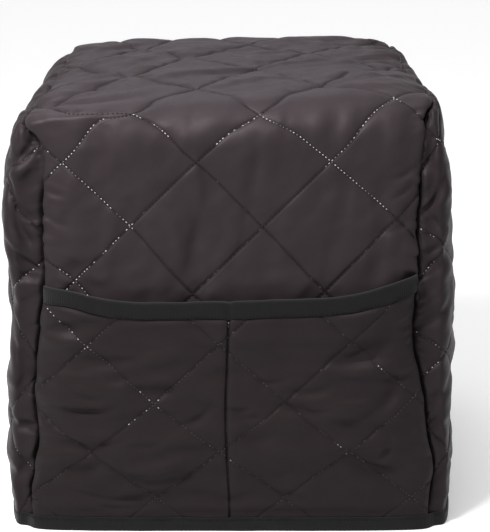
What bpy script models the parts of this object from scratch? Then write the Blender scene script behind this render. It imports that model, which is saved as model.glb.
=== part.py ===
"""Quilted cover for a counter-top coffee machine, standing empty on its hem.

One long padded strip makes the front, top and back. Two padded side panels are sewn into it. A lower,
divided pocket lies on the front, with a tape over its mouth, and a second tape binds the whole hem.
Metres, X across, front towards -Y, +Z up, the hem on z = 0.
"""

import math

import bmesh
import bpy
import numpy as np

# Cloth and sewing
PANEL_THICKNESS = 0.004
POCKET_THICKNESS = 0.003
TAPE_THICKNESS = 0.0012
SEAM_GAP = 0.0003
SEAT_GAP = 0.0003

# Seam line of the strip seen from the side: y, z, corner radius
SEAM_PROFILE = (
    (-0.153, 0.000, 0.0),
    (-0.153, 0.205, 0.0),
    (-0.147, 0.357, 0.026),
    (0.144, 0.364, 0.030),
    (0.151, 0.000, 0.0),
)

# Half width between the side seams: length along the strip from the front hem, left, right
SEAM_WIDTHS = (
    (0.000, 0.1695, 0.1690),
    (0.020, 0.1695, 0.1690),
    (0.057, 0.1672, 0.1714),
    (0.090, 0.1612, 0.1672),
    (0.130, 0.1628, 0.1610),
    (0.167, 0.1605, 0.1518),
    (0.190, 0.1568, 0.1500),
    (0.219, 0.1528, 0.1532),
    (0.265, 0.1522, 0.1538),
    (0.310, 0.1504, 0.1536),
    (0.350, 0.1490, 0.1556),
    (0.420, 0.1500, 0.1530),
    (0.520, 0.1495, 0.1500),
    (0.640, 0.1475, 0.1478),
    (0.760, 0.1500, 0.1500),
    (0.880, 0.1580, 0.1580),
    (0.965, 0.1680, 0.1680),
    (0.990, 0.1680, 0.1680),
)

# Height that the strip swells above its seams: length along the strip, swell
STRIP_SWELL = (
    (0.000, 0.0060),
    (0.020, 0.0060),
    (0.115, 0.0070),
    (0.200, 0.0095),
    (0.270, 0.0106),
    (0.330, 0.0106),
    (0.360, 0.0095),
    (0.430, 0.0110),
    (0.520, 0.0110),
    (0.620, 0.0100),
    (0.680, 0.0100),
    (0.800, 0.0110),
    (0.965, 0.0070),
    (0.990, 0.0070),
)
STRIP_ROUNDNESS = 6

# Height that the side panels swell past their seams: share of their height, left, right
SIDE_SWELL = (
    (0.00, 0.0218, 0.0208),
    (0.06, 0.0218, 0.0208),
    (0.16, 0.0265, 0.0208),
    (0.26, 0.0315, 0.0250),
    (0.35, 0.0280, 0.0280),
    (0.43, 0.0275, 0.0358),
    (0.53, 0.0310, 0.0378),
    (0.63, 0.0368, 0.0330),
    (0.73, 0.0382, 0.0300),
    (0.85, 0.0378, 0.0267),
    (0.93, 0.0364, 0.0228),
    (1.00, 0.0350, 0.0208),
)
SIDE_ROUNDNESS = 8
SIDE_TOP_ROUNDNESS = 14
SIDE_TAPER_LEFT = 0.16
SIDE_TAPER_RIGHT = 0.04

# The sides roll forward beside the front seams: how far, its middle and its width as shares of depth
FRONT_ROLL = 0.006
ROLL_MIDDLE = 0.03
ROLL_WIDTH = 0.05

# The cover stands a little higher on its right: rise for each metre to the right
LEAN_FRONT = 0.11
LEAN_BACK = 0.05

# Diamond quilting: six steps of the grid make one diamond
STEPS = 6
COLUMN_STEP = 0.1078 / STEPS
INNER_COLUMNS = 7.5
EDGE_COLUMNS = 8.5
FIRST_CROSSING = -1.5
QUILT_PUFF = 0.0024
POCKET_PUFF = 0.0012

# Steps from a panel's edge over which its padding rises: from a seam, and above a side's hem
SEAM_RISE = 1.5
HEM_RISE = (1.0, 2.5)
POCKET_RISE = (-1, 1)
POCKET_FALL = (9, 11)

# On top the quilting drifts left: how far, and the lengths along the strip where it comes and goes
TOP_DRIFT = 0.010
DRIFT_STARTS = (0.36, 0.58)
DRIFT_ENDS = (0.60, 0.72)

# Lengths along the strip where its quilting and folds come up above the pocket and end at the back
RELIEF_STARTS = (0.224, 0.250)
RELIEF_ENDS = (0.935, 0.965)

# Rows of the strip's quilting: row, length along the strip from the front hem
STRIP_ROWS = (
    (0, 0.0015),
    (3, 0.0550),
    (6, 0.1080),
    (9, 0.1610),
    (12, 0.2150),
    (15, 0.2680),
    (18, 0.3220),
    (20, 0.3515),
    (21, 0.3610),
    (22, 0.3770),
    (24, 0.4110),
    (27, 0.4740),
    (30, 0.5410),
    (33, 0.5950),
    (34, 0.6140),
    (35, 0.6310),
    (36, 0.6490),
    (39, 0.7040),
    (42, 0.7580),
    (45, 0.8120),
    (48, 0.8660),
    (51, 0.9190),
    (54, 0.9740),
    (55, 0.9881),
)
CROSSING_ROW = 18

# Side panels: steps from front to back and from hem to top. Their edges meet the strip's rows.
SIDE_COLUMNS = 17
SIDE_ROWS = 20
SIDE_CROSSING = (2.0, 4.0)
ROLL_STEP = 0.4
FRONT_CORNER_ROW = 20
BACK_CORNER_ROW = 35
LAST_ROW = STRIP_ROWS[-1][0]

# Along a side panel's top edge: its column, row of the strip that it is sewn to
TOP_EDGE = (
    (0, 20),
    (2, 22),
    (15, 33),
    (17, 35),
)

# Pocket: rows of its quilting, with their heights, below the tape
POCKET_ROWS = (
    (-2, 0.0015),
    (-1, 0.0135),
    (0, 0.0310),
    (3, 0.0760),
    (6, 0.1220),
    (9, 0.1740),
)
ROWS_TO_TAPE = 2
POCKET_CROSSING_COLUMN = 2.5
POCKET_GAPE = 0.0115
GAPE_ROUNDNESS = 8
POCKET_EDGE_INSET = 0.0009
DIVIDER_X = -0.004
DIVIDER_WIDTH = 0.012

# Shares of the pocket's height where it opens out, and where the room for the tape comes
GAPE_RISE = (0.08, 0.50)
TAPE_ROOM_RISE = (0.80, 0.98)

# The pocket's mouth: x, height
POCKET_MOUTH = (
    (-0.153, 0.2200),
    (-0.138, 0.2200),
    (-0.126, 0.2184),
    (-0.113, 0.2150),
    (-0.093, 0.2112),
    (-0.065, 0.2090),
    (0.050, 0.2090),
    (0.081, 0.2100),
    (0.098, 0.2115),
    (0.113, 0.2142),
    (0.126, 0.2174),
    (0.138, 0.2203),
    (0.153, 0.2230),
)
MIDDLE_MOUTH = 0.209

# Tapes
MOUTH_TAPE_WIDTH = 0.0115
HEM_TAPE_WIDTH = 0.0125
HEM_CLEARANCE = 0.0015

# Broad folds in the strip: x, length along the strip, turn in degrees, length, width, height
STRIP_FOLDS = (
    (-0.115, 0.371, 8, 0.070, 0.010, 0.0035),
    (-0.075, 0.435, 30, 0.110, 0.016, 0.0030),
    (-0.095, 0.493, 22, 0.090, 0.014, -0.0025),
    (0.105, 0.425, -25, 0.090, 0.016, 0.0030),
    (0.115, 0.522, -18, 0.080, 0.015, -0.0025),
    (0.000, 0.590, 4, 0.220, 0.018, 0.0025),
    (-0.020, 0.255, 84, 0.080, 0.022, -0.0022),
    (0.080, 0.245, 60, 0.060, 0.018, -0.0022),
    (0.030, 0.746, 70, 0.120, 0.026, -0.0030),
    (-0.070, 0.814, 20, 0.140, 0.024, 0.0030),
)

# Broad folds in the sides: side, steps from the front, steps up, turn, length, width, height
SIDE_FOLDS = (
    (-1, 2.2, 17.0, 35, 0.080, 0.014, -0.0040),
    (-1, 2.5, 12.0, 60, 0.100, 0.016, -0.0035),
    (-1, 4.0, 5.0, 5, 0.120, 0.014, -0.0035),
    (-1, 10.0, 12.0, 40, 0.140, 0.026, -0.0030),
    (1, 2.0, 8.5, -30, 0.080, 0.015, -0.0035),
    (1, 3.0, 14.0, 50, 0.090, 0.016, -0.0030),
    (1, 11.0, 9.0, -35, 0.140, 0.026, -0.0030),
)

# Finishes
CLOTH_COLOUR = (0.050, 0.043, 0.046, 1.0)
POCKET_COLOUR = (0.040, 0.035, 0.037, 1.0)
TAPE_COLOUR = (0.018, 0.020, 0.017, 1.0)
CLOTH_ROUGHNESS = 0.62
TAPE_ROUGHNESS = 0.80
SHARP_ANGLE = math.radians(40)


def smooth_table(table, column, x):
    """Value of a table's column at x, on a smooth curve that never overshoots its rows."""
    keys = np.array([row[0] for row in table], float)
    values = np.array([row[column] for row in table], float)
    x = np.clip(np.asarray(x, float), keys[0], keys[-1])
    step = np.diff(keys)
    slope = np.diff(values) / step
    tangent = np.concatenate([slope[:1], np.zeros(len(slope) - 1), slope[-1:]])
    same_way = slope[:-1] * slope[1:] > 0
    both = np.where(same_way, slope[:-1] + slope[1:], 1.0)
    tangent[1:-1] = np.where(same_way, 2 * slope[:-1] * slope[1:] / both, 0.0)
    i = np.clip(np.searchsorted(keys, x) - 1, 0, len(step) - 1)
    t = (x - keys[i]) / step[i]
    rise = (3 - 2 * t) * t * t
    lift = t * (1 - t) * step[i] * ((1 - t) * tangent[i] - t * tangent[i + 1])
    return values[i] * (1 - rise) + values[i + 1] * rise + lift


def ramp(x, start, end):
    """0 before start, 1 after end, smooth between."""
    t = np.clip((np.asarray(x, float) - start) / (end - start), 0, 1)
    return t * t * (3 - 2 * t)


def rounded_line(corners, arc_step=0.001):
    """Points of a line with rounded corners, and the length along it at each."""
    points = [np.array(corners[0][:2])]
    for before, (y, z, radius), after in zip(corners, corners[1:], corners[2:]):
        corner = np.array((y, z))
        if radius == 0:
            points.append(corner)
            continue
        back = np.array(before[:2]) - corner
        ahead = np.array(after[:2]) - corner
        back /= np.linalg.norm(back)
        ahead /= np.linalg.norm(ahead)
        half = math.acos(float(back @ ahead)) / 2
        middle = back + ahead
        centre = corner + middle / np.linalg.norm(middle) * radius / math.sin(half)
        first = corner + back * radius / math.tan(half) - centre
        last = corner + ahead * radius / math.tan(half) - centre
        start = math.atan2(first[1], first[0])
        turn = math.atan2(last[1], last[0]) - start
        turn = (turn + math.pi) % (2 * math.pi) - math.pi
        count = int(abs(turn) * radius / arc_step)
        for k in range(count + 1):
            angle = start + turn * k / count
            points.append(centre + radius * np.array((math.cos(angle), math.sin(angle))))
    points.append(np.array(corners[-1][:2]))
    points = np.array(points)
    lengths = np.linalg.norm(np.diff(points, axis=0), axis=1)
    return points, np.concatenate([[0.0], np.cumsum(lengths)])


DIRECTION_REACH = 0.003
SEAM_POINTS, SEAM_LENGTHS = rounded_line(SEAM_PROFILE)
STRIP_LENGTH = SEAM_LENGTHS[-1]


def seam_place(s):
    """y and z on the seam at length s."""
    s = np.clip(s, 0, STRIP_LENGTH)
    return np.interp(s, SEAM_LENGTHS, SEAM_POINTS[:, 0]), np.interp(s, SEAM_LENGTHS, SEAM_POINTS[:, 1])


def seam_line(s):
    """y and z on the seam at length s, and the outward direction there."""
    y, z = seam_place(s)
    y_ahead, z_ahead = seam_place(s + DIRECTION_REACH)
    y_behind, z_behind = seam_place(s - DIRECTION_REACH)
    along_y = y_ahead - y_behind
    along_z = z_ahead - z_behind
    size = np.hypot(along_y, along_z)
    return y, z, -along_z / size, along_y / size


def half_width(s, side):
    """Distance of a side seam from the middle."""
    left = smooth_table(SEAM_WIDTHS, 1, s)
    right = smooth_table(SEAM_WIDTHS, 2, s)
    return np.where(np.asarray(side) < 0, left, right)


def lean(points):
    """Raise the right of the cover a little, with the hem left level."""
    back = ramp(points[..., 1], SEAM_PROFILE[0][0], SEAM_PROFILE[-1][0])
    rate = LEAN_FRONT + (LEAN_BACK - LEAN_FRONT) * back
    leaned = points.copy()
    leaned[..., 2] = points[..., 2] * (1 + rate * points[..., 0])
    return leaned


def fold(across, along, turn, length, width, height):
    """Height of one soft fold at a place given from its middle."""
    c = math.cos(math.radians(turn))
    s = math.sin(math.radians(turn))
    run = (across * c + along * s) / (length / 2)
    off = (along * c - across * s) / width
    return height * np.exp(-off * off) * np.clip(1 - run * run, 0, 1)


def diamonds(column, row):
    """Height of the padding between the diagonal rows of stitches, 0 on a row and 1 in a middle."""
    rising = np.abs(np.sin(math.pi * (column + row) / STEPS))
    falling = np.abs(np.sin(math.pi * (column - row) / STEPS))
    return np.sqrt(rising * falling)


def strip_x(column, s, depth=0.0):
    """x of a column: even steps in the middle, then stretched to the seam. On top they drift left."""
    size = np.abs(column)
    edge = half_width(s, column) - depth
    inner = INNER_COLUMNS * COLUMN_STEP
    beyond = (size - INNER_COLUMNS) / (EDGE_COLUMNS - INNER_COLUMNS)
    x = np.where(size <= INNER_COLUMNS, size * COLUMN_STEP, inner + beyond * (edge - inner))
    on_top = ramp(s, *DRIFT_STARTS) * (1 - ramp(s, *DRIFT_ENDS))
    drift = TOP_DRIFT * on_top * (1 - (column / EDGE_COLUMNS) ** 2)
    return np.sign(column) * x - drift


def strip_swell(s, share_out):
    """Swell of the strip above its seams."""
    middle = smooth_table(STRIP_SWELL, 1, s)
    return middle * np.sqrt(np.clip(1 - np.abs(share_out) ** STRIP_ROUNDNESS, 0, 1))


def strip_relief(column, s, row):
    """Quilting and folds on the strip's outer face. The part behind the pocket stays plain."""
    quilt = QUILT_PUFF * diamonds(column - FIRST_CROSSING, row - CROSSING_ROW)
    x = strip_x(column, s)
    for fold_x, place, turn, length, width, height in STRIP_FOLDS:
        quilt = quilt + fold(x - fold_x, s - place, turn, length, width, height)
    shown = ramp(s, *RELIEF_STARTS) * (1 - ramp(s, *RELIEF_ENDS))
    return quilt * shown * ramp(EDGE_COLUMNS - np.abs(column), 0.0, 1.0)


def strip_point(column, s, outward):
    """A point over the strip's seam surface, moved outward."""
    y, z, out_y, out_z = seam_line(s)
    x = strip_x(column, s)
    swell = strip_swell(s, x / half_width(s, column)) + outward
    return np.stack([x, y + out_y * swell, z + out_z * swell], -1)


def strip_face(column, row, depth):
    """The strip's outer face at depth 0, or its inner face."""
    s = smooth_table(STRIP_ROWS, 1, row)
    y, z, out_y, out_z = seam_line(s)
    x = strip_x(column, s, depth)
    swell = strip_swell(s, strip_x(column, s) / half_width(s, column)) - depth
    if depth == 0:
        swell = swell + strip_relief(column, s, row)
    edge = np.abs(column) == EDGE_COLUMNS
    x = x - np.sign(column) * np.where(edge, SEAM_GAP / 2, 0)
    swell = swell + np.where(edge, SEAM_GAP / 2, 0)
    return lean(np.stack([x, y + out_y * swell, z + out_z * swell], -1))


def seam_point(row, side, depth):
    """The side panel's edge beside a row of the strip, straight between whole rows."""
    rows = np.arange(LAST_ROW + 1)
    s = smooth_table(STRIP_ROWS, 1, rows)
    y, z, out_y, out_z = seam_line(s)
    inward = depth + SEAM_GAP / 2
    x = half_width(s, side) - depth + SEAM_GAP / 2
    lines = (x, y - out_y * inward, z - out_z * inward)
    return np.stack([np.interp(row, rows, line) for line in lines], -1)


def side_frame(column, row, side, depth):
    """A side panel's flat shape: its edges on the seams blended across it."""
    a = (column / SIDE_COLUMNS)[..., None]
    b = (row / SIDE_ROWS)[..., None]
    top_row = np.interp(column, [place[0] for place in TOP_EDGE], [place[1] for place in TOP_EDGE])
    front = seam_point(row, side, depth)
    back = seam_point(LAST_ROW - row, side, depth)
    top = seam_point(top_row, side, depth)
    top_front = seam_point(FRONT_CORNER_ROW, side, depth)
    top_back = seam_point(BACK_CORNER_ROW, side, depth)
    top_chord = top_front * (1 - a) + top_back * a
    return front * (1 - a) + back * a + (top - top_chord) * b


def side_face(column, row, side, depth):
    """A side panel's outer face at depth 0, or its inner face."""
    across = column / SIDE_COLUMNS
    up = row / SIDE_ROWS
    points = side_frame(column, row, side, depth)
    round_across = np.sqrt(np.clip(1 - np.abs(2 * across - 1) ** SIDE_ROUNDNESS, 0, 1))
    round_up = np.sqrt(np.clip(1 - up ** SIDE_TOP_ROUNDNESS, 0, 1))
    taper = SIDE_TAPER_LEFT if side < 0 else SIDE_TAPER_RIGHT
    swell = smooth_table(SIDE_SWELL, 1 if side < 0 else 2, up) * round_across * round_up
    swell = swell * (1 - taper * across * up)
    off_middle = (across - ROLL_MIDDLE) / ROLL_WIDTH
    roll = FRONT_ROLL * ramp(across, 0, ROLL_MIDDLE) * np.exp(-off_middle ** 2) * round_up
    relief = np.zeros_like(swell)
    if depth == 0:
        relief = QUILT_PUFF * diamonds(column - SIDE_CROSSING[0], row - SIDE_CROSSING[1])
        for fold_side, place, height_up, turn, length, width, height in SIDE_FOLDS:
            if fold_side == side:
                away = (column - place) * COLUMN_STEP
                above = (row - height_up) * COLUMN_STEP
                relief = relief + fold(away, above, turn, length, width, height)
        edge = np.minimum(np.minimum(column, SIDE_COLUMNS - column), SIDE_ROWS - row)
        relief = relief * ramp(edge, 0.0, SEAM_RISE) * ramp(row, *HEM_RISE)
    points[..., 0] = side * (points[..., 0] + swell + relief)
    points[..., 1] -= roll
    return lean(points)


def mouth_height(x):
    """Height of the pocket's mouth, which climbs to the side seams."""
    return smooth_table(POCKET_MOUTH, 1, x)


def pocket_gape(x, s, reach):
    """Room between the front and the pocket, closed at the seams, the divider and the hem."""
    below_tape = mouth_height(x) - MOUTH_TAPE_WIDTH
    share = np.clip(s / below_tape, 0, 1)
    divider = 1 - np.exp(-((x - DIVIDER_X) / DIVIDER_WIDTH) ** 2)
    side_seam = np.clip(1 - np.abs(reach) ** GAPE_ROUNDNESS, 0, 1)
    under_tape = (TAPE_THICKNESS + 2 * SEAT_GAP) * ramp(share, *TAPE_ROOM_RISE)
    return 2 * SEAT_GAP + under_tape + POCKET_GAPE * divider * side_seam * ramp(share, *GAPE_RISE)


def pocket_point(column, height, outward):
    """A point on or off the pocket's inner face. Height is measured along the strip."""
    x = strip_x(column, height)
    reach = x / half_width(height, column)
    point = strip_point(column, height, pocket_gape(x, height, reach) + outward)
    limit = half_width(height, column) - POCKET_EDGE_INSET
    point[..., 0] = np.clip(point[..., 0], -half_width(height, -1) + POCKET_EDGE_INSET, limit)
    return point


def pocket_heights(column, row):
    """Height of a pocket row: rows of quilting, then even rows to the tape's foot, then the mouth."""
    mouth = mouth_height(strip_x(column, MIDDLE_MOUTH))
    last_row, last_height = POCKET_ROWS[-1]
    tape_foot = mouth - MOUTH_TAPE_WIDTH - SEAT_GAP
    fixed = smooth_table(POCKET_ROWS, 1, row)
    upper = last_height + (tape_foot - last_height) * (row - last_row) / ROWS_TO_TAPE
    upper = np.where(row > last_row + ROWS_TO_TAPE, mouth, upper)
    return np.where(row <= last_row, fixed, upper)


def pocket_face(column, row, depth):
    """The pocket's outer face at depth 0, or its inner face."""
    height = pocket_heights(column, row)
    outward = POCKET_THICKNESS - depth
    if depth == 0:
        quilt = POCKET_PUFF * diamonds(column - POCKET_CROSSING_COLUMN, row)
        shown = ramp(row, *POCKET_RISE) * (1 - ramp(row, *POCKET_FALL))
        outward = outward + quilt * shown * ramp(EDGE_COLUMNS - np.abs(column), 0.0, 1.0)
    return lean(pocket_point(column, height, outward))


def strip_columns():
    """Columns of the strip, with one extra between the quilting and each seam."""
    middle = np.arange(-INNER_COLUMNS, INNER_COLUMNS + 0.5)
    shoulder = (INNER_COLUMNS + EDGE_COLUMNS) / 2
    return np.concatenate([[-EDGE_COLUMNS, -shoulder], middle, [shoulder, EDGE_COLUMNS]])


def side_columns():
    """Columns of a side panel, with one extra close to each seam."""
    middle = np.arange(1, SIDE_COLUMNS)
    return np.concatenate([[0, ROLL_STEP], middle, [SIDE_COLUMNS - ROLL_STEP, SIDE_COLUMNS]])


def side_rows():
    """Rows of a side panel, with one extra close to the top seam."""
    return np.concatenate([np.arange(0, SIDE_ROWS), [SIDE_ROWS - ROLL_STEP, SIDE_ROWS]])


def add_sheet(bm, points):
    """Vertices of one face of a panel, on a grid."""
    return [[bm.verts.new(point) for point in line] for line in points]


def dips_along_first(a, b, c, d, outward):
    """True where the quad a, b, c, d dips along a to c, and false where it dips along b to d."""
    across = np.cross(b - a, d - a)
    return float(across @ (c - a)) * float(across @ outward) < 0


def padded_panel(outer, inner):
    """A closed panel between two grids of points. Each square is creased along the way that it dips."""
    bm = bmesh.new()
    top = add_sheet(bm, outer)
    under = add_sheet(bm, inner)
    rows = len(outer)
    columns = len(outer[0])
    for i in range(rows - 1):
        for j in range(columns - 1):
            corners = ((i, j), (i, j + 1), (i + 1, j + 1), (i + 1, j))
            outward = outer[i][j] - inner[i][j]
            dips = dips_along_first(*(outer[k] for k in corners), outward)
            first = (0, 1, 2) if dips else (0, 1, 3)
            second = (0, 2, 3) if dips else (1, 2, 3)
            for triangle in (first, second):
                bm.faces.new([top[corners[k][0]][corners[k][1]] for k in triangle])
                bm.faces.new([under[corners[k][0]][corners[k][1]] for k in reversed(triangle)])
    border = [(0, j) for j in range(columns)]
    border += [(i, columns - 1) for i in range(1, rows)]
    border += [(rows - 1, j) for j in range(columns - 2, -1, -1)]
    border += [(i, 0) for i in range(rows - 2, 0, -1)]
    for (i, j), (k, m) in zip(border, border[1:] + border[:1]):
        bm.faces.new((top[k][m], top[i][j], under[i][j], under[k][m]))
    return bm


def shift_loop(points, distance):
    """A closed loop of x, y points moved outward by a distance, with square corners."""
    before = np.roll(points, 1, axis=0)
    after = np.roll(points, -1, axis=0)
    first = (points - before) / np.linalg.norm(points - before, axis=1, keepdims=True)
    second = (after - points) / np.linalg.norm(after - points, axis=1, keepdims=True)
    out_first = np.stack([first[:, 1], -first[:, 0]], 1)
    out_second = np.stack([second[:, 1], -second[:, 0]], 1)
    corner = out_first + out_second
    corner /= np.sum(corner * out_first, axis=1, keepdims=True)
    return points + corner * distance


def ring_solid(loops):
    """A closed ring through loops of points, each loop a line of its section in turn."""
    bm = bmesh.new()
    lines = [[bm.verts.new(point) for point in loop] for loop in loops]
    for line, following in zip(lines, lines[1:] + lines[:1]):
        for a, b, c, d in zip(line, line[1:] + line[:1], following[1:] + following[:1], following):
            bm.faces.new((a, b, c, d))
    return bm


def bar_solid(sections):
    """A closed bar through sections of points in turn, with an end at the first and last."""
    bm = bmesh.new()
    rings = [[bm.verts.new(point) for point in section] for section in sections]
    for ring, following in zip(rings, rings[1:]):
        for a, b, c, d in zip(ring, ring[1:] + ring[:1], following[1:] + following[:1], following):
            bm.faces.new((a, b, c, d))
    bm.faces.new(list(reversed(rings[0])))
    bm.faces.new(rings[-1])
    return bm


def hem_contour(depth):
    """The panels' outline at the hem, anticlockwise from above: outer edge, or inner edge at depth."""
    columns = strip_columns()
    inner_columns = side_columns()[1:-1]
    front_height = np.full_like(columns, HEM_CLEARANCE)
    if depth == 0:
        front = pocket_point(columns, front_height, POCKET_THICKNESS)
    else:
        front = strip_face(columns, np.zeros_like(columns), depth)
    right = side_face(inner_columns, np.zeros_like(inner_columns), 1, depth)
    back = strip_face(columns[::-1], np.full_like(columns, LAST_ROW), depth)
    left = side_face(inner_columns[::-1], np.zeros_like(inner_columns), -1, depth)
    return np.concatenate([front, right, back, left])[:, :2]


def hem_tape():
    """The tape folded round the hem: a channel that holds the panels' lower edges."""
    outside = hem_contour(0)
    inside = hem_contour(PANEL_THICKNESS)
    clear = SEAT_GAP
    full = SEAT_GAP + TAPE_THICKNESS
    section = (
        (outside, full, 0.0),
        (outside, full, HEM_TAPE_WIDTH),
        (outside, clear, HEM_TAPE_WIDTH),
        (outside, clear, TAPE_THICKNESS),
        (inside, -clear, TAPE_THICKNESS),
        (inside, -clear, HEM_TAPE_WIDTH),
        (inside, -full, HEM_TAPE_WIDTH),
        (inside, -full, 0.0),
    )
    loops = []
    for contour, distance, height in section:
        flat = shift_loop(contour, distance)
        loop = np.column_stack([flat, np.full(len(flat), height)])
        loops.append(lean(loop))
    return ring_solid(loops)


def mouth_tape():
    """The tape folded over the pocket's mouth."""
    columns = strip_columns()
    clear = SEAT_GAP
    full = SEAT_GAP + TAPE_THICKNESS
    front = POCKET_THICKNESS + full
    pocket_front = POCKET_THICKNESS + clear
    foot = -MOUTH_TAPE_WIDTH
    section = (
        (foot, front),
        (foot, pocket_front),
        (clear, pocket_front),
        (clear, -clear),
        (foot, -clear),
        (foot, -full),
        (full, -full),
        (full, front),
    )
    mouth = mouth_height(strip_x(columns, MIDDLE_MOUTH))
    lines = []
    for rise, outward in section:
        lines.append(lean(pocket_point(columns, mouth + rise, outward)))
    sections = [[line[k] for line in lines] for k in range(len(columns))]
    return bar_solid(sections)


def material(name, colour, roughness):
    """A plain finish for one piece."""
    finish = bpy.data.materials.new(name)
    finish.use_nodes = True
    shader = finish.node_tree.nodes["Principled BSDF"]
    shader.inputs["Base Color"].default_value = colour
    shader.inputs["Roughness"].default_value = roughness
    shader.inputs["Metallic"].default_value = 0.0
    finish.diffuse_color = colour
    return finish


def add_piece(collection, name, bm, colour, roughness):
    """Turn a mesh under construction into a named object."""
    bmesh.ops.recalc_face_normals(bm, faces=bm.faces[:])
    mesh = bpy.data.meshes.new(name)
    bm.to_mesh(mesh)
    bm.free()
    mesh.materials.append(material(name + "_finish", colour, roughness))
    piece = bpy.data.objects.new(name, mesh)
    collection.objects.link(piece)
    mesh.shade_smooth()
    mesh.set_sharp_from_angle(angle=SHARP_ANGLE)
    return piece


def grid(face, columns, rows, *details):
    """Points of a face over all its rows and columns."""
    column, row = np.meshgrid(columns, rows)
    return face(column.astype(float), row.astype(float), *details)


def strip_panel():
    """Front, top and back in one."""
    columns = strip_columns()
    rows = np.arange(LAST_ROW + 1)
    outer = grid(strip_face, columns, rows, 0)
    inner = grid(strip_face, columns, rows, PANEL_THICKNESS)
    return padded_panel(outer, inner)


def side_panel(side):
    """One side."""
    outer = grid(side_face, side_columns(), side_rows(), side, 0)
    inner = grid(side_face, side_columns(), side_rows(), side, PANEL_THICKNESS)
    return padded_panel(outer, inner)


def pocket_panel():
    """The pocket across the lower front."""
    mouth_row = POCKET_ROWS[-1][0] + ROWS_TO_TAPE + 1
    rows = np.arange(POCKET_ROWS[0][0], mouth_row + 1)
    outer = grid(pocket_face, strip_columns(), rows, 0)
    inner = grid(pocket_face, strip_columns(), rows, POCKET_THICKNESS)
    return padded_panel(outer, inner)


def centre_pieces(pieces):
    """Bring the middle of the cover's outline over the origin."""
    corners = np.array([vertex.co[:] for piece in pieces for vertex in piece.data.vertices])
    middle = (corners.min(axis=0) + corners.max(axis=0)) / 2
    for piece in pieces:
        for vertex in piece.data.vertices:
            vertex.co.x -= middle[0]
            vertex.co.y -= middle[1]


def main():
    for thing in list(bpy.context.scene.objects):
        bpy.data.objects.remove(thing, do_unlink=True)
    cover = bpy.data.collections.new("coffee_machine_cover")
    bpy.context.scene.collection.children.link(cover)
    pieces = [
        add_piece(cover, "body_strip", strip_panel(), CLOTH_COLOUR, CLOTH_ROUGHNESS),
        add_piece(cover, "side_left", side_panel(-1), CLOTH_COLOUR, CLOTH_ROUGHNESS),
        add_piece(cover, "side_right", side_panel(1), CLOTH_COLOUR, CLOTH_ROUGHNESS),
        add_piece(cover, "pocket", pocket_panel(), POCKET_COLOUR, CLOTH_ROUGHNESS),
        add_piece(cover, "pocket_binding", mouth_tape(), TAPE_COLOUR, TAPE_ROUGHNESS),
        add_piece(cover, "hem_binding", hem_tape(), TAPE_COLOUR, TAPE_ROUGHNESS),
    ]
    centre_pieces(pieces)


main()
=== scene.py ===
"""Looks of the quilted coffee machine cover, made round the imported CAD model.

Every piece is rebuilt here at a fine step, round the seams, swells and rows of the solids. The side
seams flare further near the top's front corners than the solids' do, and the folds, the quilting's
relief, the puckers, the stitches and the ribs are this script's own. Metres, +Z up, the front
towards -Y.
"""

import math

import bpy
import numpy as np
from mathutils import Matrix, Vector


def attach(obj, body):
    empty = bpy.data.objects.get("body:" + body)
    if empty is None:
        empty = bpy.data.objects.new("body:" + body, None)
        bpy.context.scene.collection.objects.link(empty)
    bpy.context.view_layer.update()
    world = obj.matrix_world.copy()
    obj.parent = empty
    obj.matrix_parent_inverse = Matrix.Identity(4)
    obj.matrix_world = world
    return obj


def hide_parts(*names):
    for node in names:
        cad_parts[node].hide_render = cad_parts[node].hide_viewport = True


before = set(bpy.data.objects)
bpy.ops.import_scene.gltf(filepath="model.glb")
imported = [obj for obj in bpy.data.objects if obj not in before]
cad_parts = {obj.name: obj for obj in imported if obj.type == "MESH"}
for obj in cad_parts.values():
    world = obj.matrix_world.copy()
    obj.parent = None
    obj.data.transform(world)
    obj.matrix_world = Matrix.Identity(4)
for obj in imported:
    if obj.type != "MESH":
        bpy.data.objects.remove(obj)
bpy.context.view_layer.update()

# The shapes are worked out before the part is centred: the move that the CAD makes at its end
CENTRE_SHIFT = (0.0012, 0.0090, 0.0)

# Thickness of the cloths, and the gap between pieces that are sewn together
PANEL_THICKNESS = 0.004
POCKET_THICKNESS = 0.003
TAPE_THICKNESS = 0.0012
SEAT_GAP = 0.0003

# Seam line of the strip seen from the side: y, z, corner radius
SEAM_PROFILE = (
    (-0.153, 0, 0), (-0.153, 0.205, 0), (-0.147, 0.357, 0.026), (0.144, 0.364, 0.03), (0.151, 0, 0),
)

# Half width between the side seams: length along the strip from the front hem, left, right
SEAM_WIDTHS = (
    (0, 0.1695, 0.169), (0.02, 0.1695, 0.169), (0.057, 0.1672, 0.1714), (0.09, 0.1612, 0.1655),
    (0.13, 0.1628, 0.159), (0.167, 0.1605, 0.1518), (0.19, 0.1568, 0.15), (0.219, 0.1528, 0.1532),
    (0.265, 0.1522, 0.1538), (0.31, 0.1504, 0.1536), (0.336, 0.1495, 0.1552), (0.346, 0.154, 0.1562),
    (0.352, 0.16, 0.1574), (0.3565, 0.1645, 0.1604), (0.361, 0.1656, 0.1622), (0.375, 0.1644, 0.1628),
    (0.392, 0.163, 0.1612), (0.405, 0.1615, 0.1594), (0.43, 0.158, 0.1565), (0.52, 0.1526, 0.1515),
    (0.62, 0.1502, 0.1485), (0.64, 0.15, 0.1482), (0.76, 0.151, 0.15), (0.88, 0.158, 0.158),
    (0.965, 0.168, 0.168), (0.99, 0.168, 0.168),
)

# Height that the strip swells above its seams: length along the strip, swell
STRIP_SWELL = (
    (0, 0.006), (0.02, 0.006), (0.115, 0.007), (0.2, 0.0095), (0.27, 0.0106), (0.33, 0.0106),
    (0.36, 0.0095), (0.43, 0.011), (0.52, 0.011), (0.62, 0.01), (0.68, 0.01), (0.8, 0.011),
    (0.965, 0.007), (0.99, 0.007),
)
STRIP_ROUNDNESS = 6

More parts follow.
